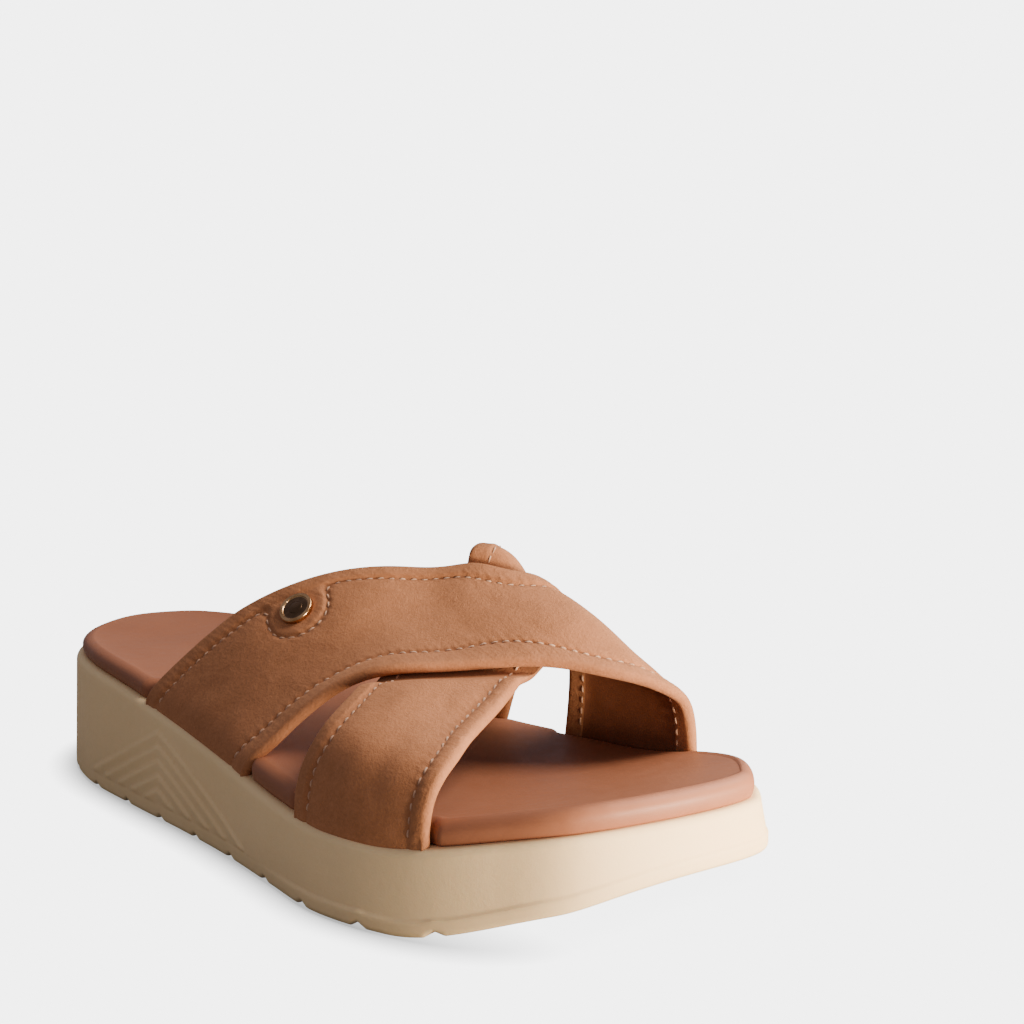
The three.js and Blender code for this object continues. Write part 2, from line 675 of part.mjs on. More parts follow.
function makeStud(grow) {
  const radius = STUD_RADIUS + grow;
  const shank = SHANK_RADIUS + grow;
  const foot = -WALL - 0.2 - grow;
  const profile = [
    [0, foot], [shank, foot], [shank, -grow], [radius, -grow], [radius, STUD_RISE * 0.55],
    [radius * 0.93, STUD_RISE * 0.92], [radius * 0.82, STUD_RISE], [radius * 0.7, STUD_RISE * 0.8],
    [radius * 0.35, STUD_RISE * 0.95], [0, STUD_RISE],
  ].map(([across, up]) => new THREE.Vector2(across, up));
  const geometry = new THREE.LatheGeometry(profile, 28);
  geometry.rotateX(Math.PI / 2);
  if (signedVolume(mergedPlain(geometry)) < 0) geometry.index.array.reverse();
  geometry.applyMatrix4(studFrame());
  return toSolid(geometry);
}

function mergedPlain(geometry) {
  const plain = geometry.clone();
  plain.deleteAttribute('normal');
  plain.deleteAttribute('uv');
  return mergeVertices(plain, 1e-4);
}

function makeUpper() {
  const over = makeStrap(OVER_EDGES, false);
  const under = makeStrap(UNDER_EDGES, true);
  return over.add(under).subtract(makeStud(GAP));
}

function makeFootbed() {
  const over = makeStrap(OVER_EDGES, false, GAP, POCKET_REACH);
  const under = makeStrap(UNDER_EDGES, true, GAP, POCKET_REACH);
  return makeFootbedBlank().subtract(over).subtract(under).simplify(SIMPLIFY);
}

// Materials

const foam = new THREE.MeshStandardMaterial({ color: 0xe9d3b4, roughness: 0.75, metalness: 0 });
const bedLeather = new THREE.MeshStandardMaterial({ color: 0xa0674b, roughness: 0.45, metalness: 0 });
const strapLeather = new THREE.MeshStandardMaterial({ color: 0xb98260, roughness: 0.85, metalness: 0 });
const gilt = new THREE.MeshStandardMaterial({ color: 0x9a6a3c, roughness: 0.25, metalness: 1 });

const sandal = new THREE.Group();

function addNode(name, solid, material) {
  const mesh = new THREE.Mesh(toGeometry(solid), material);
  mesh.name = name;
  sandal.add(mesh);
}

addNode('sole_unit', makeSoleUnit(), foam);
addNode('footbed', makeFootbed(), bedLeather);
addNode('upper', makeUpper(), strapLeather);
addNode('stud', makeStud(0), gilt);

// The origin lies under the middle of the sole unit
const footprint = new THREE.Box3().setFromObject(sandal);
const middle = footprint.getCenter(new THREE.Vector3());
sandal.position.set(-middle.x, -middle.y, -footprint.min.z);

export default sandal;
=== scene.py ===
"""Looks of the crossed-strap platform slide sandal, a right shoe.
Shapes are worked out in millimetres from the heel tip, and placed in metres in the frame."""
import math

import bpy
import numpy as np
from mathutils import Matrix, Vector


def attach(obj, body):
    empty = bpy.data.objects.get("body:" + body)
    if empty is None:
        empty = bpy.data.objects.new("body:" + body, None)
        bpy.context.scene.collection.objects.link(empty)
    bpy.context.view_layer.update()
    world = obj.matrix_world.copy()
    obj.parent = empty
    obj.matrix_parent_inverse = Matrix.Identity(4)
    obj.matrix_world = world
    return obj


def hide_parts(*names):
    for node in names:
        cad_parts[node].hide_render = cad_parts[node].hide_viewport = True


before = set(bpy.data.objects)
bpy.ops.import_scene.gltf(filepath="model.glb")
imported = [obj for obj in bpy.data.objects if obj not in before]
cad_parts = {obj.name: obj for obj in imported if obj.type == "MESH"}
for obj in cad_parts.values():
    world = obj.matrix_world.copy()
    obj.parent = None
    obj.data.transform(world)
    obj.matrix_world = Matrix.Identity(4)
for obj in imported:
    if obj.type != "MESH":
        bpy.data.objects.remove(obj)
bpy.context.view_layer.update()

# Sizes shared with the CAD model, in millimetres
LENGTH = 250.0
BALL_WIDTH = 98.0
INSTEP = 52.0
HEEL_HEIGHT = 36.3
BALL_HEIGHT = 20.5
TOE_RISE = 9.0
TOE_SPRING = 13.0
TOE_BEVEL = 3.5
HEEL_BEVEL = 1.0
FLARE = 1.2
RIM_ROUND = 2.2
BAND_HEIGHT = 4.4
BAND_PROUD = 0.5
GROOVE_FIRST = 27.5
GROOVE_PITCH = 20.0
GROOVE_COUNT = 10
GROOVE_DEPTH = 1.5
GROOVE_WIDTH = 5.0
BED_INSET = 2.0
BED_THICK = 6.2
STRAP_INSET = 1.5
WALL = 2.4
HEM_RISE = 0.9
REAR_HEM = 6.0
OVER_FRONT_HEM = 6.8
UNDER_FRONT_HEM = 5.0
INNER_HEM = 5.2
PITCH = 3.1
UNDER_SINK = 3.1
FAR_LIFT = 2.0
FAR_LIFT_AT = 0.70
FAR_LIFT_SPAN = 0.10
SEAM_DEPTH = 0.40
PUFF = 0.36
LOBE_RADIUS = 9.4
LOBE_BLEND = 5.0
SOLE_EDGE = 1.6
CREASE_SHARE = 0.6
STRAP_PRESS = 2.3
BED_CORNER = 3.0
FOOT_DEPTH = 0.25
LINING_HEM = 6.0
STITCH_LENGTH = 2.35
STITCH_RADIUS = 0.29
INNER_STITCH_LENGTH = 2.4
INNER_STITCH_RADIUS = 0.28
STUD_RADIUS = 5.0
SHIFT = np.array([-125.267, 1.5813, 0.0])

# At, lateral half width, medial half width: shares of length and ball width
OUTLINE = np.array([
    [0.030, 0.180, 0.215],
    [0.080, 0.300, 0.297],
    [0.160, 0.380, 0.342],
    [0.280, 0.414, 0.337],
    [0.400, 0.434, 0.327],
    [0.500, 0.459, 0.348],
    [0.600, 0.497, 0.400],
    [0.700, 0.525, 0.470],
    [0.800, 0.475, 0.492],
    [0.880, 0.375, 0.462],
    [0.945, 0.252, 0.395],
    [0.985, 0.035, 0.300],
])
HEEL_APEX = 0.02
TOE_APEX = 0.235

# At, lateral shoulder in/up, middle in/up, crest in/up, medial shoulder in/up
SECTIONS = np.array([
    [0.280, 0.041, 0.154, 0.347, 0.692, 0.173, 0.683, 0.051, 0.365],
    [0.392, 0.061, 0.231, 0.408, 0.865, 0.153, 0.817, 0.036, 0.462],
    [0.476, 0.077, 0.250, 0.469, 0.923, 0.128, 0.962, 0.020, 0.615],
    [0.528, 0.087, 0.240, 0.531, 0.933, 0.097, 1.000, 0.015, 0.721],
    [0.572, 0.097, 0.279, 0.561, 0.865, 0.082, 1.048, 0.015, 0.779],
    [0.600, 0.087, 0.337, 0.541, 0.788, 0.077, 1.077, 0.015, 0.760],
    [0.644, 0.071, 0.404, 0.510, 0.702, 0.082, 0.990, 0.020, 0.692],
    [0.688, 0.061, 0.413, 0.495, 0.644, 0.097, 0.913, 0.020, 0.635],
    [0.732, 0.061, 0.385, 0.490, 0.587, 0.117, 0.827, 0.026, 0.577],
    [0.792, 0.056, 0.337, 0.449, 0.481, 0.117, 0.644, 0.031, 0.490],
    [0.824, 0.051, 0.288, 0.429, 0.433, 0.122, 0.529, 0.031, 0.433],
    [0.880, 0.046, 0.221, 0.388, 0.346, 0.128, 0.356, 0.031, 0.260],
])

# Across, rear edge, front edge: shares of the strap's way and of the length
OVER = np.array([
    [0.000, 0.308, 0.531],
    [0.080, 0.326, 0.556],
    [0.140, 0.341, 0.570],
    [0.220, 0.362, 0.594],
    [0.310, 0.391, 0.634],
    [0.420, 0.450, 0.690],
    [0.500, 0.516, 0.735],
    [0.565, 0.586, 0.770],
    [0.625, 0.634, 0.802],
    [0.690, 0.658, 0.826],
    [0.770, 0.672, 0.846],
    [0.850, 0.674, 0.850],
    [1.000, 0.666, 0.850],
])
UNDER = np.array([
    [0.000, 0.640, 0.818],
    [0.080, 0.646, 0.818],
    [0.140, 0.654, 0.817],
    [0.200, 0.648, 0.810],
    [0.280, 0.624, 0.792],
    [0.375, 0.601, 0.771],
    [0.480, 0.590, 0.750],
    [0.570, 0.587, 0.743],
    [0.640, 0.576, 0.730],
    [0.700, 0.557, 0.706],
    [0.770, 0.522, 0.662],
    [0.860, 0.472, 0.617],
    [1.000, 0.436, 0.588],
])
STUD_AT = 0.465
STUD_ACROSS = 0.338


# Small mathematics

def smooth(low, high, value):
    t = np.clip((value - low) / (high - low), 0, 1)
    return t * t * (3 - 2 * t)


def column(table, number, place):
    """Smooth value of a table's column at a place, by Catmull-Rom on its first column."""
    keys, vals = table[:, 0], table[:, number]
    place = np.asarray(place, float)
    row = np.clip(np.searchsorted(keys, place), 1, len(keys) - 1)
    before, after = row - 1, row
    first, last = np.maximum(row - 2, 0), np.minimum(row + 1, len(keys) - 1)
    span = keys[after] - keys[before]
    u = np.clip((place - keys[before]) / span, 0, 1)
    slope_in = (vals[after] - vals[first]) / (keys[after] - keys[first])
    slope_out = (vals[last] - vals[before]) / (keys[last] - keys[before])
    return (
        (2 * u**3 - 3 * u**2 + 1) * vals[before]
        + (u**3 - 2 * u**2 + u) * span * slope_in
        + (-2 * u**3 + 3 * u**2) * vals[after]
        + (u**3 - u**2) * span * slope_out
    )


def waves(seed, *places):
    """Soft irregular waviness from -1 to 1, the same each run."""
    rng = np.random.RandomState(seed)
    total = 0.0
    for _ in range(9):
        phase = rng.uniform(0, 2 * math.pi)
        turn = sum(rng.normal() * place for place in places)
        total = total + np.sin(turn * 2.2 + phase)
    return total / 4.5


# The last and the sole unit

def top_height(x):
    at = x / LENGTH
    heel = (HEEL_HEIGHT - BALL_HEIGHT) * (1 - smooth(0.12, 0.70, at))
    return BALL_HEIGHT + heel + TOE_RISE * smooth(0.75, 1, at)


def bottom_height(x):
    at = x / LENGTH
    toe = TOE_SPRING * smooth(0.78, 1, at) + TOE_BEVEL * smooth(0.93, 1, at)
    return toe + HEEL_BEVEL * (1 - smooth(0, 0.08, at))


def dense_outline(per_span=60):
    points = [(0.0, HEEL_APEX * BALL_WIDTH)]
    points += [(a * LENGTH, -b * BALL_WIDTH) for a, b, c in OUTLINE]
    points += [(LENGTH, TOE_APEX * BALL_WIDTH)]
    points += [(a * LENGTH, c * BALL_WIDTH) for a, b, c in OUTLINE[::-1]]
    points = np.array(points)
    count = len(points)
    out = []
    u = (np.arange(per_span) / per_span)[:, None]
    for i in range(count):
        p0, p1, p2, p3 = (points[(i + k) % count] for k in (-1, 0, 1, 2))
        d0, d1, d2 = (math.sqrt(np.linalg.norm(b - a)) for a, b in ((p0, p1), (p1, p2), (p2, p3)))
        t1 = ((p1 - p0) / d0 - (p2 - p0) / (d0 + d1)) * d1 + (p2 - p1)
        t2 = ((p3 - p2) / d2 - (p3 - p1) / (d1 + d2)) * d1 + (p2 - p1)
        out.append((2 * u**3 - 3 * u**2 + 1) * p1 + (u**3 - 2 * u**2 + u) * t1
                   + (-2 * u**3 + 3 * u**2) * p2 + (u**3 - u**2) * t2)
    return np.vstack(out), per_span * (len(OUTLINE) + 1)


DENSE, TOE_INDEX = dense_outline()


def normals_of(ring):
    along = np.roll(ring, -1, 0) - np.roll(ring, 1, 0)
    along /= np.linalg.norm(along, axis=1)[:, None]
    return np.stack([-along[:, 1], along[:, 0]], 1)


def even_outline(steps):
    """Points and inward normals, evenly along each side: heel, lateral side, toe, medial side."""
    halves = DENSE[:TOE_INDEX + 1], np.vstack([DENSE[TOE_INDEX:], DENSE[:1]])
    ring = []
    for half in halves:
        run = np.concatenate([[0], np.cumsum(np.linalg.norm(np.diff(half, axis=0), axis=1))])
        wanted = np.linspace(0, run[-1], steps + 1)[:-1]
        ring.append(np.stack([np.interp(wanted, run, half[:, k]) for k in (0, 1)], 1))
    ring = np.vstack(ring)
    normal = normals_of(ring)
    for _ in range(3):
        normal = (np.roll(normal, 1, 0) + 2 * normal + np.roll(normal, -1, 0)) / 4
    return ring, normal / np.linalg.norm(normal, axis=1)[:, None]


def side_line(inset):
    moved = DENSE + normals_of(DENSE) * inset
    lateral, medial = moved[:TOE_INDEX + 1], moved[TOE_INDEX:][::-1]
    return lateral, medial


LATERAL, MEDIAL = side_line(STRAP_INSET)

# The last's outer surface on a grid of stations and ways across
GRID_X = np.arange(62, 234, 0.5)
GRID_T = np.linspace(0, 1, 321)


def section(x):
    at = x / LENGTH
    value = [float(column(SECTIONS, k, at)) for k in range(1, 9)]
    lateral = float(np.interp(x, LATERAL[:, 0], LATERAL[:, 1]))
    medial = float(np.interp(x, MEDIAL[:, 0], MEDIAL[:, 1]))
    rim = float(top_height(x)) + 0.3
    knots = np.array([
        [lateral, rim],
        [lateral + value[0] * BALL_WIDTH, rim + value[1] * INSTEP],
        [lateral + value[2] * BALL_WIDTH, rim + value[3] * INSTEP],
        [medial - value[4] * BALL_WIDTH, rim + value[5] * INSTEP],
        [medial - value[6] * BALL_WIDTH, rim + value[7] * INSTEP],
        [medial, rim],
    ])
    spans = np.sqrt(np.linalg.norm(np.diff(knots, axis=0), axis=1))
    tangents = [np.array([0, spans[0]])]
    for i in range(1, 5):
        before = (knots[i] - knots[i - 1]) / spans[i - 1]
        after = (knots[i + 1] - knots[i]) / spans[i]
        chord = (knots[i + 1] - knots[i - 1]) / (spans[i - 1] + spans[i])
        tangents.append(before - chord + after)
    tangents.append(np.array([0, -spans[4]]))
    fine = []
    u = np.linspace(0, 1, 41)[:-1, None]
    for i in range(5):
        fine.append((2 * u**3 - 3 * u**2 + 1) * knots[i]
                    + (u**3 - 2 * u**2 + u) * spans[i] * tangents[i]
                    + (-2 * u**3 + 3 * u**2) * knots[i + 1]
                    + (u**3 - u**2) * spans[i] * tangents[i + 1])
    fine = np.vstack(fine + [knots[-1:]])
    run = np.concatenate([[0], np.cumsum(np.linalg.norm(np.diff(fine, axis=0), axis=1))])
    wanted = GRID_T * run[-1]
    return np.stack([np.interp(wanted, run, fine[:, k]) for k in (0, 1)], 1)


def blur(field, times, axis):
    for _ in range(times):
        ahead = np.concatenate([np.take(field, range(1, field.shape[axis]), axis),
                                np.take(field, [-1], axis)], axis)
        behind = np.concatenate([np.take(field, [0], axis),
                                 np.take(field, range(0, field.shape[axis] - 1), axis)], axis)
        field = (ahead + 2 * field + behind) / 4
    return field


GRID = np.stack([section(x) for x in GRID_X])
_keep = GRID[:, [0, -1]].copy()
GRID = blur(GRID, 60, 0)
GRID[:, 1:-1] = blur(GRID, 30, 1)[:, 1:-1]
GRID[:, [0, -1]] = _keep
_dx = np.gradient(GRID, GRID_X, axis=0)
_dt = np.gradient(GRID, GRID_T, axis=1)
NORMAL = np.cross(
    np.concatenate([np.ones(_dx.shape[:2] + (1,)), _dx], 2),
    np.concatenate([np.zeros(_dt.shape[:2] + (1,)), _dt], 2),
)
NORMAL = blur(blur(NORMAL, 6, 0), 6, 1)
NORMAL /= np.linalg.norm(NORMAL, axis=2)[:, :, None]


def on_last(x, t):
    """Point and outward normal of the last's surface."""
    x, t = np.broadcast_arrays(np.asarray(x, float), np.asarray(t, float))
    fx = np.clip((x - GRID_X[0]) / 0.5, 0, len(GRID_X) - 1.001)
    ft = np.clip(t, 0, 1) * (len(GRID_T) - 1)
    ft = np.minimum(ft, len(GRID_T) - 1.001)
    i, j = fx.astype(int), ft.astype(int)
    a, b = (fx - i)[..., None], (ft - j)[..., None]

    def read(field):
        return ((1 - a) * (1 - b) * field[i, j] + a * (1 - b) * field[i + 1, j]
                + (1 - a) * b * field[i, j + 1] + a * b * field[i + 1, j + 1])

    flat = read(GRID)
    normal = read(NORMAL)
    normal /= np.linalg.norm(normal, axis=-1)[..., None]
    return np.concatenate([x[..., None], flat], -1), normal


# Meshes

ROOT = "root"


def to_frame(points):
    return (np.asarray(points) + SHIFT) / 1000.0


def add_mesh(name, points, faces, materials, replaces=None, face_materials=None):
    """A smooth-shaded piece from points in millimetres, which may stand for a CAD node."""
    mesh = bpy.data.meshes.new(name)
    mesh.from_pydata(to_frame(points).tolist(), [], [tuple(int(i) for i in f) for f in faces])
    mesh.validate()
    mesh.update()
    obj = bpy.data.objects.new(name, mesh)
    bpy.context.collection.objects.link(obj)
    for mat in materials:
        mesh.materials.append(mat)
    if face_materials is not None and len(face_materials) == len(mesh.polygons):
        mesh.polygons.foreach_set("material_index", np.asarray(face_materials, np.int32))
    mesh.polygons.foreach_set("use_smooth", np.full(len(mesh.polygons), True))
    mesh.update()
    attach(obj, ROOT)
    if replaces:
        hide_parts(replaces)


def grid_faces(rows, cols, close_cols=False, start=0):
    faces = []
    last = cols if close_cols else cols - 1
    for r in range(rows - 1):
        for c in range(last):
            d = (c + 1) % cols
            faces.append((start + r * cols + c, start + r * cols + d,
                          start + (r + 1) * cols + d, start + (r + 1) * cols + c))
    return faces


def ring_body(rings, steps, bottom, top, across_low, across_high):
    """Points and faces of a closed body between the lowest and the highest ring of 2 * steps points."""
    count = 2 * steps
    points = [np.vstack(rings)]
    faces = grid_faces(len(rings), count, True)
    total = len(rings) * count

    def cap(level, height, across, up):
        nonlocal total
        ring = rings[level]
        base = level * count
        ids = np.zeros((steps + 1, across + 1), int)
        ids[:, 0] = base + np.arange(steps + 1)
        ids[:, -1] = base + (count - np.arange(steps + 1)) % count
        ids[0, :] = base
        ids[-1, :] = base + steps
        inner = []
        for s in range(1, steps):
            lateral, medial = ring[s], ring[(count - s) % count]
            share = np.arange(1, across) / across
            line = lateral + (medial - lateral) * share[:, None]
            line[:, 2] = height(line[:, 0], line[:, 1], share)
            inner.append(line)
            ids[s, 1:-1] = total + np.arange(across - 1)
            total += across - 1
        points.append(np.vstack(inner))
        for s in range(steps):
            for k in range(across):
                quad = [ids[s, k], ids[s + 1, k], ids[s + 1, k + 1], ids[s, k + 1]]
                clean = [q for i, q in enumerate(quad) if q != quad[i - 1]]
                if len(clean) > 2:
                    faces.append(clean if up else clean[::-1])

    cap(0, bottom, across_low, False)
    cap(len(rings) - 1, top, across_high, True)
    return np.vstack(points), faces


# Materials

def node_tree(name):
    mat = bpy.data.materials.new(name)
    mat.use_nodes = True
    tree = mat.node_tree
    return mat, tree, tree.nodes["Principled BSDF"]


def link(tree, a, b):
    tree.links.new(a, b)


def noise(tree, scale, detail=4.0, rough=0.55, distortion=0.0, coords=None):
    node = tree.nodes.new("ShaderNodeTexNoise")
    node.inputs["Scale"].default_value = scale
    node.inputs["Detail"].default_value = detail
    node.inputs["Roughness"].default_value = rough
    node.inputs["Distortion"].default_value = distortion
    link(tree, coords, node.inputs["Vector"])
    return node.outputs["Fac"]


def coordinates(tree, stretch=None):
    node = tree.nodes.new("ShaderNodeTexCoord")
    out = node.outputs["Object"]
    if stretch:
        mapping = tree.nodes.new("ShaderNodeMapping")
        mapping.inputs["Scale"].default_value = stretch
        link(tree, out, mapping.inputs["Vector"])
        out = mapping.outputs["Vector"]
    return out


def ramp(tree, value, stops):
    node = tree.nodes.new("ShaderNodeValToRGB")
    while len(node.color_ramp.elements) < len(stops):
        node.color_ramp.elements.new(0.5)
    for element, (place, color) in zip(node.color_ramp.elements, stops):
        element.position = place
        element.color = (*color, 1)
    link(tree, value, node.inputs["Fac"])
    return node.outputs["Color"]


def math_node(tree, kind, a, b):
    node = tree.nodes.new("ShaderNodeMath")
    node.operation = kind
    for socket, value in ((node.inputs[0], a), (node.inputs[1], b)):
        if isinstance(value, (int, float)):
            socket.default_value = value
        else:
            link(tree, value, socket)
    return node.outputs[0]


def bump(tree, height, distance, strength=1.0, chain=None):
    node = tree.nodes.new("ShaderNodeBump")
    node.inputs["Strength"].default_value = strength
    node.inputs["Distance"].default_value = distance
    link(tree, height, node.inputs["Height"])
    if chain is not None:
        link(tree, chain, node.inputs["Normal"])
    return node.outputs["Normal"]


def map_range(tree, value, low, high):
    node = tree.nodes.new("ShaderNodeMapRange")
    node.inputs["From Min"].default_value = 0.3
    node.inputs["From Max"].default_value = 0.7
    node.inputs["To Min"].default_value = low
    node.inputs["To Max"].default_value = high
    link(tree, value, node.inputs["Value"])
    return node.outputs["Result"]


def make_nubuck(name, dark, mid, light):
    mat, tree, shader = node_tree(name)
    at = coordinates(tree)
    broad = noise(tree, 26, 2, 0.5, 0.2, at)
    patch = noise(tree, 240, 5, 0.62, 0.5, at)
    grain = noise(tree, 1300, 4, 0.6, 0, at)
    pores = noise(tree, 3200, 2, 0.5, 0, at)
    blend = math_node(tree, "ADD", math_node(tree, "MULTIPLY", broad, 0.22),
                      math_node(tree, "ADD", math_node(tree, "MULTIPLY", patch, 0.38),
                                math_node(tree, "MULTIPLY", grain, 0.40)))
    color = ramp(tree, blend, [(0.36, dark), (0.5, mid), (0.64, light)])
    link(tree, color, shader.inputs["Base Color"])
    link(tree, map_range(tree, patch, 0.78, 0.94), shader.inputs["Roughness"])
    shader.inputs["Sheen Weight"].default_value = 0.10
    shader.inputs["Sheen Roughness"].default_value = 0.5
    shader.inputs["Sheen Tint"].default_value = (1.0, 0.70, 0.48, 1)
    shader.inputs["Specular IOR Level"].default_value = 0.18
    soft = bump(tree, patch, 0.0004, 0.5)
    fine = bump(tree, grain, 0.0002, 0.8, soft)
    link(tree, bump(tree, pores, 0.0001, 0.8, fine), shader.inputs["Normal"])
    return mat


def make_smooth_leather(name, dark, light, rough, coat, grain_scale, grain_depth):
    mat, tree, shader = node_tree(name)
    at = coordinates(tree)
    broad = noise(tree, 30, 3, 0.5, 0.3, at)
    patch = noise(tree, 260, 4, 0.6, 0.2, at)
    cells = tree.nodes.new("ShaderNodeTexVoronoi")
    cells.feature = "DISTANCE_TO_EDGE"
    cells.inputs["Scale"].default_value = grain_scale
    link(tree, at, cells.inputs["Vector"])
    fine = noise(tree, grain_scale * 2.2, 2, 0.5, 0, at)
    blend = math_node(tree, "ADD", math_node(tree, "MULTIPLY", broad, 0.7),
                      math_node(tree, "MULTIPLY", patch, 0.3))
    link(tree, ramp(tree, blend, [(0.36, dark), (0.64, light)]), shader.inputs["Base Color"])
    link(tree, map_range(tree, patch, rough - 0.05, rough + 0.07), shader.inputs["Roughness"])
    shader.inputs["Coat Weight"].default_value = coat
    shader.inputs["Coat Roughness"].default_value = 0.35
    shader.inputs["Specular IOR Level"].default_value = 0.30
    edge = tree.nodes.new("ShaderNodeMapRange")
    edge.inputs["From Min"].default_value = 0.0
    edge.inputs["From Max"].default_value = 0.12
    link(tree, cells.outputs["Distance"], edge.inputs["Value"])
    a = bump(tree, broad, 0.0008, 0.35)
    b = bump(tree, edge.outputs["Result"], grain_depth, 0.5, a)
    link(tree, bump(tree, fine, grain_depth * 0.6, 0.5, b), shader.inputs["Normal"])
    return mat


def make_foam(name):
    mat, tree, shader = node_tree(name)
    at = coordinates(tree)
    broad = noise(tree, 22, 2, 0.5, 0, at)
    fine = noise(tree, 1700, 3, 0.6, 0, at)
    grit = noise(tree, 420, 4, 0.6, 0, at)
    color = ramp(tree, math_node(tree, "ADD", math_node(tree, "MULTIPLY", broad, 0.75),
                                 math_node(tree, "MULTIPLY", grit, 0.25)),
                 [(0.35, (0.87, 0.605, 0.315)), (0.65, (0.91, 0.640, 0.345))])
    link(tree, color, shader.inputs["Base Color"])
    link(tree, map_range(tree, grit, 0.56, 0.68), shader.inputs["Roughness"])
    shader.inputs["Subsurface Weight"].default_value = 0.12
    shader.inputs["Subsurface Radius"].default_value = (0.004, 0.0025, 0.0015)
    shader.inputs["Subsurface Scale"].default_value = 1.0
    shader.inputs["Specular IOR Level"].default_value = 0.35
    soft = bump(tree, grit, 0.00012, 0.5)
    link(tree, bump(tree, fine, 0.00006, 0.6, soft), shader.inputs["Normal"])
    return mat


def make_metal(name, dark, light):
    mat, tree, shader = node_tree(name)
    at = coordinates(tree)
    scratch = noise(tree, 900, 3, 0.6, 0, coordinates(tree, (1, 6, 1)))
    tone = noise(tree, 300, 2, 0.5, 0, at)
    link(tree, ramp(tree, tone, [(0.35, dark), (0.65, light)]), shader.inputs["Base Color"])
    shader.inputs["Metallic"].default_value = 1.0
    link(tree, map_range(tree, scratch, 0.16, 0.30), shader.inputs["Roughness"])
    link(tree, bump(tree, scratch, 0.00002, 0.4), shader.inputs["Normal"])
    return mat


def make_thread(name):
    mat, tree, shader = node_tree(name)
    at = coordinates(tree)
    tone = noise(tree, 700, 2, 0.5, 0, at)
    twist = noise(tree, 5200, 2, 0.5, 0, at)
    color = ramp(tree, tone, [(0.35, (0.42, 0.21, 0.11)), (0.65, (0.60, 0.35, 0.215))])
    link(tree, color, shader.inputs["Base Color"])
    shader.inputs["Roughness"].default_value = 0.62
    shader.inputs["Sheen Weight"].default_value = 0.2
    link(tree, bump(tree, twist, 0.00012, 0.8), shader.inputs["Normal"])
    return mat


NUBUCK = make_nubuck(
    "nubuck_tan", (0.32, 0.123, 0.049), (0.375, 0.147, 0.063), (0.43, 0.174, 0.079),
)
LINING = make_smooth_leather(
    "lining_brown", (0.20, 0.066, 0.026), (0.27, 0.094, 0.042),
    rough=0.50, coat=0.0, grain_scale=1500, grain_depth=0.00005,
)
BED = make_smooth_leather(
    "footbed_leather", (0.270, 0.094, 0.043), (0.300, 0.110, 0.054),
    rough=0.50, coat=0.0, grain_scale=1800, grain_depth=0.00003,
)
FOAM = make_foam("sole_foam")
METAL = make_metal("gilt_metal", (0.40, 0.21, 0.09), (0.62, 0.37, 0.19))
BRONZE = make_metal("bronze_dark", (0.10, 0.055, 0.03), (0.17, 0.095, 0.055))
THREAD = make_thread("thread_peach")


# Sole unit

def band_proud(x):
    return BAND_PROUD * smooth(0.56, 0.68, x / LENGTH)


def groove_depth(x):
    nearest = np.round((x - GROOVE_FIRST) / GROOVE_PITCH)
    nearest = np.clip(nearest, 0, GROOVE_COUNT - 1)
    away = np.abs(x - GROOVE_FIRST - nearest * GROOVE_PITCH)
    v = np.clip(1 - away / (GROOVE_WIDTH / 2), 0, 1)
    return GROOVE_DEPTH * v


CHEVRON_X = 87.0
CHEVRON_TOP = 26.4
CHEVRON_PITCH = 4.2
CHEVRON_COUNT = 5
CHEVRON_RISE = 0.65


def chevron_rise(x, z):
    """How far the nested chevron steps stand out of the side wall."""
    slope = np.where(x > CHEVRON_X, 0.42, 0.50)
    line = CHEVRON_TOP - slope * np.abs(x - CHEVRON_X)
    q = (line - z) / CHEVRON_PITCH
    k = np.floor(q)
    part = q - k
    saw = smooth(0, 0.16, part) * (1 - part) ** 1.2
    inside = (q > 0) & (k < CHEVRON_COUNT)
    near_bottom = smooth(0.3, 2.0, z - bottom_height(x))
    return np.where(inside, saw, 0) * CHEVRON_RISE * near_bottom


SOLE_STEPS = 620
ring_xy, ring_in = even_outline(SOLE_STEPS)


def build_sole():
    x0 = ring_xy[:, 0]
    low, high = bottom_height(x0), top_height(x0)
    proud = band_proud(x0)
    groove = groove_depth(x0)
    band = BAND_HEIGHT
    rings = []

    def put(out, z):
        point = ring_xy - ring_in * np.broadcast_to(out, x0.shape)[:, None]
        rings.append(np.column_stack([point, z]))

    for angle in np.linspace(0, math.pi / 2, 6):
        out = FLARE + proud - SOLE_EDGE * (1 - math.sin(angle))
        lift = SOLE_EDGE * (1 - math.cos(angle))
        put(out, low + lift + groove * (1 - lift / (band + 1)))
    for lift in (2.2, 3.0, band - 0.4):
        put(FLARE + proud, low + lift + groove * (1 - lift / (band + 1)))
    for share in (0.25, 0.6, 1.0):
        lift = band - 0.4 + 0.9 * share
        out = FLARE * 0.97 + proud * (1 - smooth(0, 1, share))
        put(out, low + lift + groove * (1 - lift / (band + 1)))
    start = low + band + 0.5 + groove * (1 - (band + 0.5) / (band + 1))
    for share in np.linspace(0, 1, 36)[1:]:
        z = start + (high - RIM_ROUND - start) * share
        out = FLARE * 0.97 * (1 - share) + chevron_rise(x0, z)
        put(out, z)
    for angle in np.linspace(0, math.pi / 2, 8)[1:]:
        put(-RIM_ROUND * (1 - math.cos(angle)) * 0.9, high - RIM_ROUND * (1 - math.sin(angle)))
    put(-RIM_ROUND * 0.9 - 1.5, high)
    put(-RIM_ROUND * 0.9 - 3.0, high - 0.15)

    def bottom(x, y, share):
        return bottom_height(x) + groove_depth(x)

    def top(x, y, share):
        return top_height(x) - 0.15

    return ring_body(rings, SOLE_STEPS, bottom, top, 8, 3)


points, faces = build_sole()
add_mesh("sole_unit_foam", points, faces, [FOAM], "sole_unit")


# Footbed

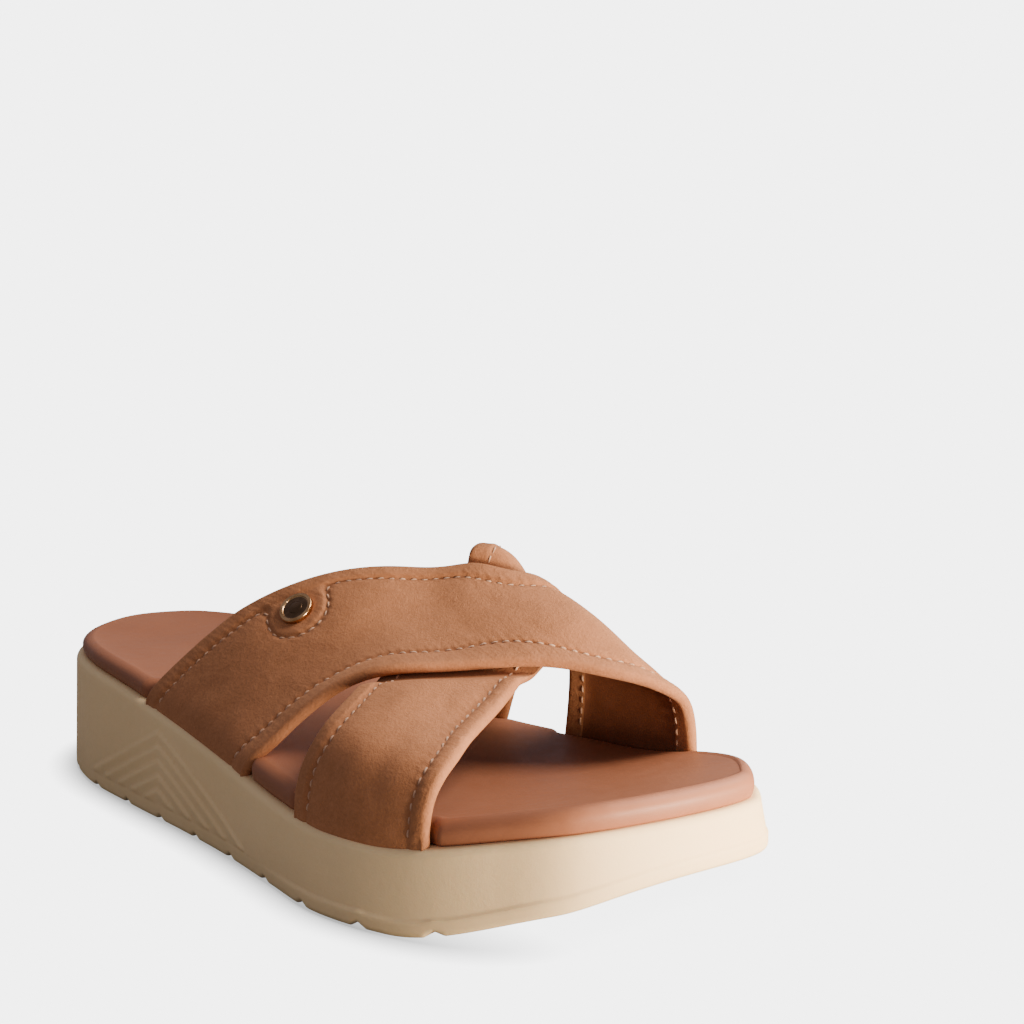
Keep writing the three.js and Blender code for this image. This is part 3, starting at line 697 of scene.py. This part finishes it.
def span_window(x, rear, front, fade):
    return smooth(rear - fade, rear, x) * (1 - smooth(front, front + fade, x))


def strap_press(x, lateral):
    """How far the straps press the footbed's edge in, from 0 to 1."""
    if lateral:
        spans = ((OVER[0, 1], OVER[0, 2]), (UNDER[0, 1], UNDER[0, 2]))
    else:
        spans = ((OVER[-1, 1], OVER[-1, 2]), (UNDER[-1, 1], UNDER[-1, 2]))
    return sum(span_window(x, a * LENGTH, b * LENGTH, 3.5) for a, b in spans)


BED_STEPS = 420


def bed_edge(x):
    drop = 1.4 * (1 - smooth(0.05, 0.5, x / LENGTH))
    return top_height(x) + BED_THICK - drop


def bed_top(x, y, share):
    at = x / LENGTH
    inner = np.sin(np.pi * share)
    cup = 3.0 * smooth(0, 0.14, at) * (1 - smooth(0.18, 0.45, at)) * inner ** 0.7
    arch = 2.5 * np.exp(-(((at - 0.42) / 0.13) ** 2)) * smooth(0.55, 0.9, share) * inner
    ball = 0.8 * np.exp(-(((at - 0.74) / 0.16) ** 2)) * inner
    ends = smooth(0, 0.03, at) * (1 - smooth(0.97, 1, at))
    return bed_edge(x) + (arch - cup - ball) * ends


def build_bed():
    xy, inward = even_outline(BED_STEPS)
    x0 = xy[:, 0]
    lateral = np.arange(len(xy)) < BED_STEPS
    press = np.where(lateral, strap_press(x0, True), strap_press(x0, False))
    press = press * STRAP_PRESS
    low, high = top_height(x0), bed_edge(x0)
    rings = []
    wobble = 0.12 * waves(3, x0 / 9, xy[:, 1] / 9)

    def put(inset, z):
        point = xy + inward * np.broadcast_to(inset, x0.shape)[:, None]
        rings.append(np.column_stack([point, z]))

    height = high - low
    put(BED_INSET + press + 1.2, low - 0.1)
    put(BED_INSET + press + 0.55, low + 0.25)
    for share in np.linspace(0.12, 0.5, 5):
        put(BED_INSET + press + 0.35 * (0.5 - share) ** 2 / 0.14 + wobble * 0.4, low + height * share)
    for angle in np.linspace(0, math.pi / 2, 12)[1:]:
        inset = BED_INSET + press + BED_CORNER * (1 - math.cos(angle)) * 1.15 + wobble * 0.4
        z = low + height * 0.5 + (height * 0.5) * math.sin(angle)
        put(inset, z)
    return ring_body(rings, BED_STEPS, lambda x, y, s: top_height(x) - 0.1, bed_top, 3, 64)


points, faces = build_bed()
add_mesh("footbed_leather", points, faces, [BED], "footbed")


# Straps

class Strap:
    """A padded strap between two edges on the last, worn over or under the other."""

    def __init__(self, edges, under):
        self.under = under
        self.t = np.linspace(0, 1, 1201)
        self.rear = column(edges, 1, self.t) * LENGTH
        self.front = column(edges, 2, self.t) * LENGTH
        for _ in range(120):
            for line in (self.rear, self.front):
                line[1:-1] = (line[:-2] + 2 * line[1:-1] + line[2:]) / 4
        rear_point, _ = on_last(self.rear, self.t)
        front_point, _ = on_last(self.front, self.t)
        middle, _ = on_last((self.rear + self.front) / 2, self.t)
        chord = front_point - rear_point
        along = np.gradient(middle, axis=0)
        along /= np.linalg.norm(along, axis=1)[:, None]
        length = np.linalg.norm(chord, axis=1)
        square = np.linalg.norm(np.cross(chord / length[:, None], along), axis=1)
        square = np.maximum(square, 0.55)
        width = length * square
        for _ in range(2500):
            width[1:-1] = (width[:-2] + 2 * width[1:-1] + width[2:]) / 4
        self.width = width
        self.run = np.concatenate([[0], np.cumsum(np.linalg.norm(np.diff(middle, axis=0), axis=1))])

    def at(self, t, line):
        return np.interp(t, self.t, line)

    def place(self, t, distance, offset):
        """Point and normal at a way across t, a distance from the rear edge and an offset outwards."""
        t, distance, offset = np.broadcast_arrays(t, distance, offset)
        rear, front = self.at(t, self.rear), self.at(t, self.front)
        x = rear + (front - rear) * distance / self.at(t, self.width)
        point, normal = on_last(x, t)
        if self.under:
            rear_over = np.interp(t, OVER_STRAP.t, OVER_STRAP.rear)
            front_over = np.interp(t, OVER_STRAP.t, OVER_STRAP.front)
            outside = np.maximum(rear_over - x, x - front_over)
            share = 1 - smooth(0, 9.0, outside)
            far = np.exp(-(((t - FAR_LIFT_AT) / FAR_LIFT_SPAN) ** 2))
            offset = offset + FAR_LIFT * far * (1 - share)
            offset = np.where(offset > -1.2, offset * (1 - share), offset) - UNDER_SINK * share
        return point + normal * offset[..., None], normal


OVER_STRAP = Strap(OVER, False)
UNDER_STRAP = Strap(UNDER, True)
STUD_T = STUD_ACROSS
STUD_X = STUD_AT * LENGTH
stud_point, stud_normal = on_last(STUD_X, STUD_T)


def stud_share():
    rear, front = OVER_STRAP.at(STUD_T, OVER_STRAP.rear), OVER_STRAP.at(STUD_T, OVER_STRAP.front)
    return (STUD_X - rear) / (front - rear) * OVER_STRAP.at(STUD_T, OVER_STRAP.width)


STUD_D = float(stud_share())


def past_rear_hem(strap, t, distance):
    """Signed distance past the rear stitch line, which swells to a lobe round the over strap's stud."""
    plain = distance - REAR_HEM
    if strap.under:
        return plain
    point, _ = strap.place(t, distance, np.zeros(np.shape(distance)))
    lobe = np.linalg.norm(point - stud_point, axis=-1) - LOBE_RADIUS
    share = np.clip(0.5 + 0.5 * (plain - lobe) / LOBE_BLEND, 0, 1)
    return plain + (lobe - plain) * share - LOBE_BLEND * share * (1 - share)


def front_hem(strap, t):
    if strap.under:
        return np.full(np.shape(t), UNDER_FRONT_HEM)
    return OVER_FRONT_HEM + 0.8 - 2.0 * smooth(0.15, 0.80, t)


# Creases: way across and share of the strap's width at both ends, then half width and depth
CREASES_OVER = [
    [0.02, 0.30, 0.15, 0.42, 3.6, 0.34],
    [0.03, 0.62, 0.13, 0.60, 3.0, 0.26],
    [0.20, 0.56, 0.30, 0.66, 4.0, 0.20],
    [0.47, 0.70, 0.53, 0.86, 2.6, 0.22],
    [0.56, 0.68, 0.60, 0.88, 2.4, 0.24],
    [0.63, 0.16, 0.66, 0.46, 4.0, 0.26],
    [0.74, 0.20, 0.75, 0.80, 3.2, 0.30],
    [0.86, 0.25, 0.87, 0.75, 3.0, 0.28],
]
CREASES_UNDER = [
    [0.04, 0.34, 0.15, 0.30, 2.6, 0.28],
    [0.06, 0.66, 0.20, 0.58, 3.0, 0.26],
    [0.24, 0.26, 0.36, 0.34, 3.2, 0.24],
    [0.30, 0.72, 0.40, 0.66, 2.6, 0.20],
    [0.80, 0.40, 0.88, 0.52, 3.0, 0.26],
]


def creases(strap, t, distance):
    """Soft troughs, each with a low ridge beside it."""
    run = strap.at(t, strap.run)
    total = np.zeros(np.shape(run + distance))
    for t_from, at_from, t_to, at_to, half, depth in CREASES_UNDER if strap.under else CREASES_OVER:
        start = np.array([strap.at(t_from, strap.run), at_from * strap.at(t_from, strap.width)])
        end = np.array([strap.at(t_to, strap.run), at_to * strap.at(t_to, strap.width)])
        length = np.linalg.norm(end - start)
        ahead = (end - start) / length
        along = (run - start[0]) * ahead[0] + (distance - start[1]) * ahead[1]
        beside = (distance - start[1]) * ahead[0] - (run - start[0]) * ahead[1]
        beside = beside + 1.1 * np.sin(along / length * 4.0)
        fade = smooth(-0.15, 0.3, along / length) * (1 - smooth(0.65, 1.15, along / length))
        trough = np.exp(-((beside / half) ** 2)) - 0.55 * np.exp(-(((beside - 1.9 * half) / half) ** 2))
        total = total - depth * trough * fade
    return CREASE_SHARE * total


def plateau_fill(past_rear):
    """Fills the step behind the far hem, so that its edge shows as one smooth peak."""
    return 0.55 * smooth(-3.0, 0.0, past_rear) * (1 - smooth(0.0, 9.0, past_rear))


def skin(strap, t, distance):
    """Height of the outer skin over the last, from the rear edge's roll to the front edge's roll."""
    t, distance = np.broadcast_arrays(t, distance)
    width = strap.at(t, strap.width)
    front = front_hem(strap, t)
    run = strap.at(t, strap.run)
    roll = (WALL + HEM_RISE) / 2
    from_front = width - distance
    past_rear, past_front = past_rear_hem(strap, t, distance), from_front - front
    u = np.clip((distance - roll) / (REAR_HEM - roll), 0, 1)
    v = np.clip((from_front - roll) / np.maximum(front - roll, 0.1), 0, 1)
    rear_roll = np.cos(u ** 1.5 * math.pi / 2) * HEM_RISE
    front_roll = np.cos(v ** 1.5 * math.pi / 2) * HEM_RISE
    plateau = 0.32 * smooth(0.4, 1.0, u) * smooth(0, 1.6, -past_rear)
    seam = -SEAM_DEPTH * (np.exp(-((past_rear / 0.62) ** 2)) + np.exp(-((past_front / 0.62) ** 2)))
    past = np.minimum(past_rear, past_front)
    puff = PUFF * (1 - np.exp(-np.clip(past, 0, None) / 2.6))
    near = np.exp(-((past_rear / 1.7) ** 2)) + np.exp(-((past_front / 1.7) ** 2))
    pucker = 0.07 * np.cos(run * 2 * math.pi / PITCH) * near
    wrinkle = waves(11, run / 1.7, distance / 9) * 0.06 * (past < 0)
    soft = waves(5 + strap.under, run / 14, distance / 10) * 0.12 * smooth(0, 6, past)
    beside_seam = smooth(0, 3, past) * (1 - smooth(6, 14, past))
    drag = waves(21 + strap.under, run / 3.2, distance / 14) * 0.03 * beside_seam
    folds = creases(strap, t, distance) * smooth(0, 3, past)
    raised = rear_roll + plateau + front_roll
    low_relief = seam + puff + pucker + wrinkle
    if strap.under:
        low_relief = low_relief * (1 - 0.95 * smooth(0.52, 0.62, t))
        raised = raised + plateau_fill(past_rear) * smooth(0.52, 0.64, t)
    height = raised + low_relief + soft + drag + folds
    if not strap.under:
        point, _ = strap.place(t, distance, np.zeros(distance.shape))
        away = np.linalg.norm(point - stud_point, axis=-1)
        height = height - 0.45 * np.exp(-((away / 6.2) ** 4))
    foot = smooth(0, 0.035, t) * smooth(0, 0.035, 1 - t)
    return height * (0.35 + 0.65 * foot)


def build_strap(strap, rows):
    t = np.linspace(0, 1, rows)
    width = strap.at(t, strap.width)
    roll = (WALL + HEM_RISE) / 2
    centre = (HEM_RISE - WALL) / 2
    front = front_hem(strap, t)
    foot = 0.35 + 0.65 * smooth(0, 0.035, t) * smooth(0, 0.035, 1 - t)
    columns = []
    kinds = []

    def add(distance, offset, kind):
        columns.append((distance, offset))
        kinds.append(kind)

    arc = np.linspace(-math.pi / 2, math.pi / 2, 15)
    for angle in arc[:-1]:
        add(roll - roll * math.cos(angle), centre + roll * math.sin(angle) - (1 - foot) * 0.4, 0)
    fine_from = REAR_HEM - 1.4
    fine_to = REAR_HEM + 1.6 if strap.under else STUD_D + LOBE_RADIUS + 3.0
    for share in np.linspace(0, 1, 9)[:-1]:
        distance = roll + (fine_from - roll) * share
        add(distance, skin(strap, t, distance), 0)
    for distance in np.arange(fine_from, fine_to, 0.24 if strap.under else 0.42):
        add(distance, skin(strap, t, distance), 0)
    panel_high = width - front - 1.5
    for share in np.linspace(0, 1, 40 if strap.under else 26):
        distance = fine_to + (panel_high - fine_to) * share
        add(distance, skin(strap, t, distance), 0)
    for share in np.linspace(1, -1, 13):
        distance = width - front - 1.25 * share
        add(distance, skin(strap, t, distance), 0)
    for share in np.linspace(1, 0, 12)[1:]:
        distance = width - roll - (front - 1.4 - roll) * share
        add(distance, skin(strap, t, distance), 0)
    for angle in arc[::-1][1:]:
        add(width - roll + roll * math.cos(angle), centre + roll * math.sin(angle) - (1 - foot) * 0.4, 0)
    for share in (0.35, 0.7, 0.95):
        add(width - roll - (LINING_HEM - roll) * share, -WALL + 0.02 * (1 - share), 0)
    for share in np.linspace(0, 1, 18):
        dip = 0.3 if 0 < share < 1 else 0.1
        add(width - LINING_HEM - (width - 2 * LINING_HEM) * share, -WALL + dip, 1)
    for share in (0.95, 0.7, 0.35):
        add(roll + (LINING_HEM - roll) * share, -WALL + 0.02 * (1 - share), 0)

    grid = []
    for distance, offset in columns:
        point, _ = strap.place(t, distance + 0 * t, offset + 0 * t)
        grid.append(point)
    grid = np.stack(grid, 1)
    feet = []
    for end in (0, -1):
        row = grid[end].copy()
        row[:, 2] = top_height(row[:, 0]) - FOOT_DEPTH
        feet.append(row[None])
    grid = np.concatenate([feet[0], grid, feet[1]])
    n_rows, n_cols = grid.shape[:2]
    faces = grid_faces(n_rows, n_cols, True)
    lined = [int(kinds[c] == 1 and kinds[(c + 1) % n_cols] == 1) for c in range(n_cols)]
    marks = np.tile(lined, n_rows - 1)
    flat = grid.reshape(-1, 3)
    first = list(range(n_cols))
    last = list(range((n_rows - 1) * n_cols, n_rows * n_cols))
    faces += [tuple(first[::-1]), tuple(last)]
    marks = list(marks) + [0, 0]
    return flat, faces, marks


def strap_object(name, strap, rows, replaces=None):
    flat, faces, marks = build_strap(strap, rows)
    faces = [f[::-1] for f in faces]
    add_mesh(name, flat, faces, [NUBUCK, LINING], replaces, marks)


strap_object("strap_over", OVER_STRAP, 520, "upper")
strap_object("strap_under", UNDER_STRAP, 480)


# Stitches

def rear_seam(strap, beyond, t_from, t_to):
    """Ways across and distances along the rear stitch line, found by stepping along the level line."""
    run, distance = float(strap.at(t_from, strap.run)), REAR_HEM + beyond
    run_end = float(strap.at(t_to, strap.run))
    step, reach = 0.25, 0.05
    ways, places = [], []
    while run < run_end and len(ways) < 4000:
        runs = np.array([run, run - reach, run + reach, run, run])
        across = np.interp(runs, strap.run, strap.t)
        distances = np.array([distance] * 3 + [distance - reach, distance + reach])
        value = past_rear_hem(strap, across, distances) - beyond
        slope_run = (value[2] - value[1]) / (2 * reach)
        slope_across = (value[4] - value[3]) / (2 * reach)
        steep = slope_run**2 + slope_across**2
        run -= value[0] * slope_run / steep
        distance -= value[0] * slope_across / steep
        ways.append(float(np.interp(run, strap.run, strap.t)))
        places.append(distance)
        run += step * slope_across / math.sqrt(steep)
        distance -= step * slope_run / math.sqrt(steep)
    return np.array(ways), np.array(places)


def along_hem(distance_of, t_from, t_to):
    """Ways across and the distances that a function gives there."""
    t = np.linspace(t_from, t_to, 2400)
    return t, distance_of(t)


def stitch_line(strap, path, pitch, inner=False):
    """Even places along a path of ways across and distances: points, tangents and normals."""
    t, distance = path
    offset = -WALL - 0.02 if inner else skin(strap, t, distance)
    point, normal = strap.place(t, distance, offset + 0 * t)
    if inner:
        normal = -normal
    run = np.concatenate([[0], np.cumsum(np.linalg.norm(np.diff(point, axis=0), axis=1))])
    count = int(run[-1] / pitch)
    wanted = (np.arange(count) + 0.5) * run[-1] / count
    at = np.stack([np.interp(wanted, run, point[:, k]) for k in range(3)], 1)
    up = np.stack([np.interp(wanted, run, normal[:, k]) for k in range(3)], 1)
    ahead = np.stack([np.interp(wanted + 0.4, run, point[:, k])
                      - np.interp(wanted - 0.4, run, point[:, k]) for k in range(3)], 1)
    ahead /= np.linalg.norm(ahead, axis=1)[:, None]
    return at, ahead, up


def build_stitches(lines, length, radius):
    """Short sunken threads, slightly turned out of the line, joined in one mesh."""
    ring, sides = 7, 8
    along = np.linspace(-1, 1, ring)
    points, faces = [], []
    rng = np.random.RandomState(4)
    for at, ahead, up in lines:
        for p, a, u in zip(at, ahead, up):
            side = np.cross(u, a)
            side /= np.linalg.norm(side)
            turn = 0.10 + rng.normal() * 0.03
            a = a + side * turn
            a /= np.linalg.norm(a)
            size = 1 + rng.normal() * 0.05
            start = len(points)
            for s in along:
                thick = radius * math.sqrt(max(1 - (abs(s) ** 3.2), 0.02))
                middle = p + a * s * length / 2 * size + u * (0.16 - 0.42 * s * s)
                for k in range(sides):
                    angle = 2 * math.pi * k / sides
                    points.append(middle + side * math.cos(angle) * thick + u * math.sin(angle) * thick)
            faces += grid_faces(ring, sides, True, start)
            faces += [tuple(start + k for k in reversed(range(sides))),
                      tuple(start + (ring - 1) * sides + k for k in range(sides))]
    return np.array(points), faces


lines = []
for strap in (OVER_STRAP, UNDER_STRAP):
    lines.append(stitch_line(strap, rear_seam(strap, 0.1, 0.012, 0.988), PITCH))
    front_path = along_hem(lambda t, s=strap: s.at(t, s.width) - front_hem(s, t) - 0.1, 0.012, 0.988)
    lines.append(stitch_line(strap, front_path, PITCH))
points, faces = build_stitches(lines, STITCH_LENGTH, STITCH_RADIUS)
add_mesh("stitches_outer", points, faces, [THREAD])

lines = []
for strap in (OVER_STRAP, UNDER_STRAP):
    rear_path = along_hem(lambda t: INNER_HEM + 0 * t, 0.05, 0.95)
    front_path = along_hem(lambda t, s=strap: s.at(t, s.width) - INNER_HEM, 0.05, 0.95)
    lines += [stitch_line(strap, path, PITCH, True) for path in (rear_path, front_path)]
points, faces = build_stitches(lines, INNER_STITCH_LENGTH, INNER_STITCH_RADIUS)
add_mesh("stitches_inner", points, faces, [THREAD])


# Stud

def build_stud():
    radius = STUD_RADIUS
    profile = [(1.5, -2.4), (1.5, -0.6), (radius * 0.96, -0.55), (radius, -0.3), (radius, 0.9)]
    for angle in np.linspace(0, math.pi / 2, 7)[1:]:
        profile.append((radius - 0.45 + 0.45 * math.cos(angle), 0.9 + 0.55 * math.sin(angle)))
    profile += [(radius * 0.84, 1.45)]
    for angle in np.linspace(0, math.pi / 2, 5)[1:]:
        profile.append((radius * 0.84 - 0.35 * math.sin(angle), 1.45 - 0.35 * (1 - math.cos(angle))))
    profile += [(radius * 0.74, 1.02), (radius * 0.70, 0.98), (radius * 0.42, 1.04), (radius * 0.40, 1.12),
                (radius * 0.37, 1.30), (radius * 0.34, 1.36), (radius * 0.2, 1.46), (0.0, 1.5)]
    profile = np.array(profile)
    sides = 96
    normal = stud_normal / np.linalg.norm(stud_normal)
    side = np.cross(normal, [0, 0, 1.0])
    side /= np.linalg.norm(side)
    other = np.cross(normal, side)
    points = []
    for r, h in profile[:-1]:
        for k in range(sides):
            angle = 2 * math.pi * k / sides
            share = r / radius
            ray = 0.10 * math.cos(12 * angle) * smooth(0.40, 0.5, share) * (1 - smooth(0.62, 0.74, share))
            out = side * r * math.cos(angle) + other * r * math.sin(angle)
            points.append(stud_point + out + normal * (h + ray))
    top = len(points)
    points.append(stud_point + normal * profile[-1][1])
    faces = grid_faces(len(profile) - 1, sides, True)
    base = (len(profile) - 2) * sides
    faces += [(base + k, base + (k + 1) % sides, top) for k in range(sides)]
    faces += [tuple(range(sides))[::-1]]
    face_from = next(row for row, (r, h) in enumerate(profile) if row > 5 and r <= radius * 0.75)
    marks = [int(row >= face_from) for row in range(len(profile) - 2) for _ in range(sides)]
    return np.array(points), faces, marks + [1] * sides + [0]


points, faces, marks = build_stud()
add_mesh("stud_disc", points, faces, [METAL, BRONZE], "stud", marks)


# Floor, lights and camera

def stage_plane(name, corners, material):
    mesh = bpy.data.meshes.new(name)
    mesh.from_pydata(corners, [], [tuple(range(len(corners)))])
    obj = bpy.data.objects.new(name, mesh)
    mesh.materials.append(material)
    bpy.context.collection.objects.link(obj)


BACKDROP = 5.2
FILL_LIGHT = 0.33
# Painted contact shadow on the floor: reach, darkest share and power of the occlusion darkening of its
# glow
PAINTED_SHADOW_REACH = 0.010
PAINTED_SHADOW_DARKEST = 0.45
PAINTED_SHADOW_POWER = 2.6
# Painted pool of light: how much of the painted shadow is lifted toward the toe
PAINTED_LIGHT_POOL = 0.92


def backdrop_floor():
    """Bright floor with a painted soft contact shadow, which lights the shoe only as a dim grey one does.
    """
    mat, tree, shader = node_tree("floor_pale")
    shader.inputs["Base Color"].default_value = (0.24, 0.235, 0.23, 1)
    shader.inputs["Roughness"].default_value = 0.9
    shader.inputs["Specular IOR Level"].default_value = 0.0
    # Painted shadow: the floor's glow seen by the camera is darkened where ambient occlusion finds the
    # sole close by
    closeness = tree.nodes.new("ShaderNodeAmbientOcclusion")
    closeness.samples = 16
    closeness.inputs["Distance"].default_value = PAINTED_SHADOW_REACH
    open_share = math_node(tree, "MAXIMUM", closeness.outputs["AO"], PAINTED_SHADOW_DARKEST)
    shade = math_node(tree, "POWER", open_share, PAINTED_SHADOW_POWER)
    # Painted pool of light: by place on the floor, toward the toe and the medial side, the painted shadow
    # is mostly lifted
    axes = tree.nodes.new("ShaderNodeSeparateXYZ")
    link(tree, coordinates(tree), axes.inputs["Vector"])
    painted_light_pool = PAINTED_LIGHT_POOL
    for axis, low_at, high_at in (("X", 0.02, 0.07), ("Y", -0.050, -0.020)):
        step = tree.nodes.new("ShaderNodeMapRange")
        step.inputs["From Min"].default_value = low_at
        step.inputs["From Max"].default_value = high_at
        link(tree, axes.outputs[axis], step.inputs["Value"])
        painted_light_pool = math_node(tree, "MULTIPLY", step.outputs["Result"], painted_light_pool)
    shadow = math_node(tree, "SUBTRACT", 1.0, shade)
    shade = math_node(tree, "ADD", shade, math_node(tree, "MULTIPLY", shadow, painted_light_pool))
    glow = tree.nodes.new("ShaderNodeEmission")
    glow.inputs["Color"].default_value = (1, 1, 1, 1)
    link(tree, math_node(tree, "MULTIPLY", shade, BACKDROP), glow.inputs["Strength"])
    path = tree.nodes.new("ShaderNodeLightPath")
    choose = tree.nodes.new("ShaderNodeMixShader")
    link(tree, path.outputs["Is Camera Ray"], choose.inputs[0])
    link(tree, shader.outputs[0], choose.inputs[1])
    link(tree, glow.outputs[0], choose.inputs[2])
    link(tree, choose.outputs[0], tree.nodes["Material Output"].inputs["Surface"])
    return mat


stage_plane("floor", [(-6, -6, 0), (6, -6, 0), (6, 6, 0), (-6, 6, 0)], backdrop_floor())

world = bpy.data.worlds.new("studio")
bpy.context.scene.world = world
world.use_nodes = True
sky = world.node_tree
path = sky.nodes.new("ShaderNodeLightPath")
seen = sky.nodes.new("ShaderNodeBackground")
seen.inputs["Color"].default_value = (1, 1, 1, 1)
seen.inputs["Strength"].default_value = BACKDROP
fill = sky.nodes["Background"]
fill.inputs["Color"].default_value = (1.0, 1.0, 1.12, 1)
fill.inputs["Strength"].default_value = FILL_LIGHT
either = sky.nodes.new("ShaderNodeMixShader")
link(sky, path.outputs["Is Camera Ray"], either.inputs[0])
link(sky, fill.outputs[0], either.inputs[1])
link(sky, seen.outputs[0], either.inputs[2])
link(sky, either.outputs[0], sky.nodes["World Output"].inputs["Surface"])


def area_light(name, place, target, size, power, color):
    data = bpy.data.lights.new(name, "AREA")
    data.shape = "RECTANGLE"
    data.size, data.size_y = size
    data.energy = power
    data.color = color
    obj = bpy.data.objects.new(name, data)
    obj.location = place
    direction = Vector(target) - Vector(place)
    obj.rotation_euler = direction.to_track_quat("-Z", "Y").to_euler()
    bpy.context.collection.objects.link(obj)


area_light("key", (0.290, 0.036, 0.032), (0.10, -0.005, 0.028), (0.12, 0.05), 1.9, (1.0, 0.88, 0.70))
area_light("front", (0.30, 0.25, 0.46), (0.0, 0.0, 0.03), (0.22, 0.22), 4.0, (1.0, 0.93, 0.84))
area_light("side", (0.10, 0.44, 0.50), (0.02, 0.0, 0.03), (0.35, 0.35), 2.2, (1.0, 0.94, 0.86))

CAMERA_AT = np.array([485.69, -287.92, 157.46])
FOCAL_PIXELS = 1658.72
PICTURE = 1024
SENSOR = 36.0
YAW = math.radians(45.92)
PITCH_DOWN = math.radians(8.48)
camera_data = bpy.data.cameras.new("camera")
camera = bpy.data.objects.new("camera", camera_data)
bpy.context.collection.objects.link(camera)
level = math.cos(PITCH_DOWN)
forward = Vector((-math.sin(YAW) * level, math.cos(YAW) * level, -math.sin(PITCH_DOWN)))
right = Vector((math.cos(YAW), math.sin(YAW), 0))
up = right.cross(forward)
turn = Matrix((right, up, -forward)).transposed().to_4x4()
camera.matrix_world = Matrix.Translation(to_frame(CAMERA_AT).tolist()) @ turn
camera_data.sensor_width = SENSOR
camera_data.lens = FOCAL_PIXELS / PICTURE * SENSOR
camera_data.clip_start = 0.01
camera_data.clip_end = 50
bpy.context.scene.camera = camera
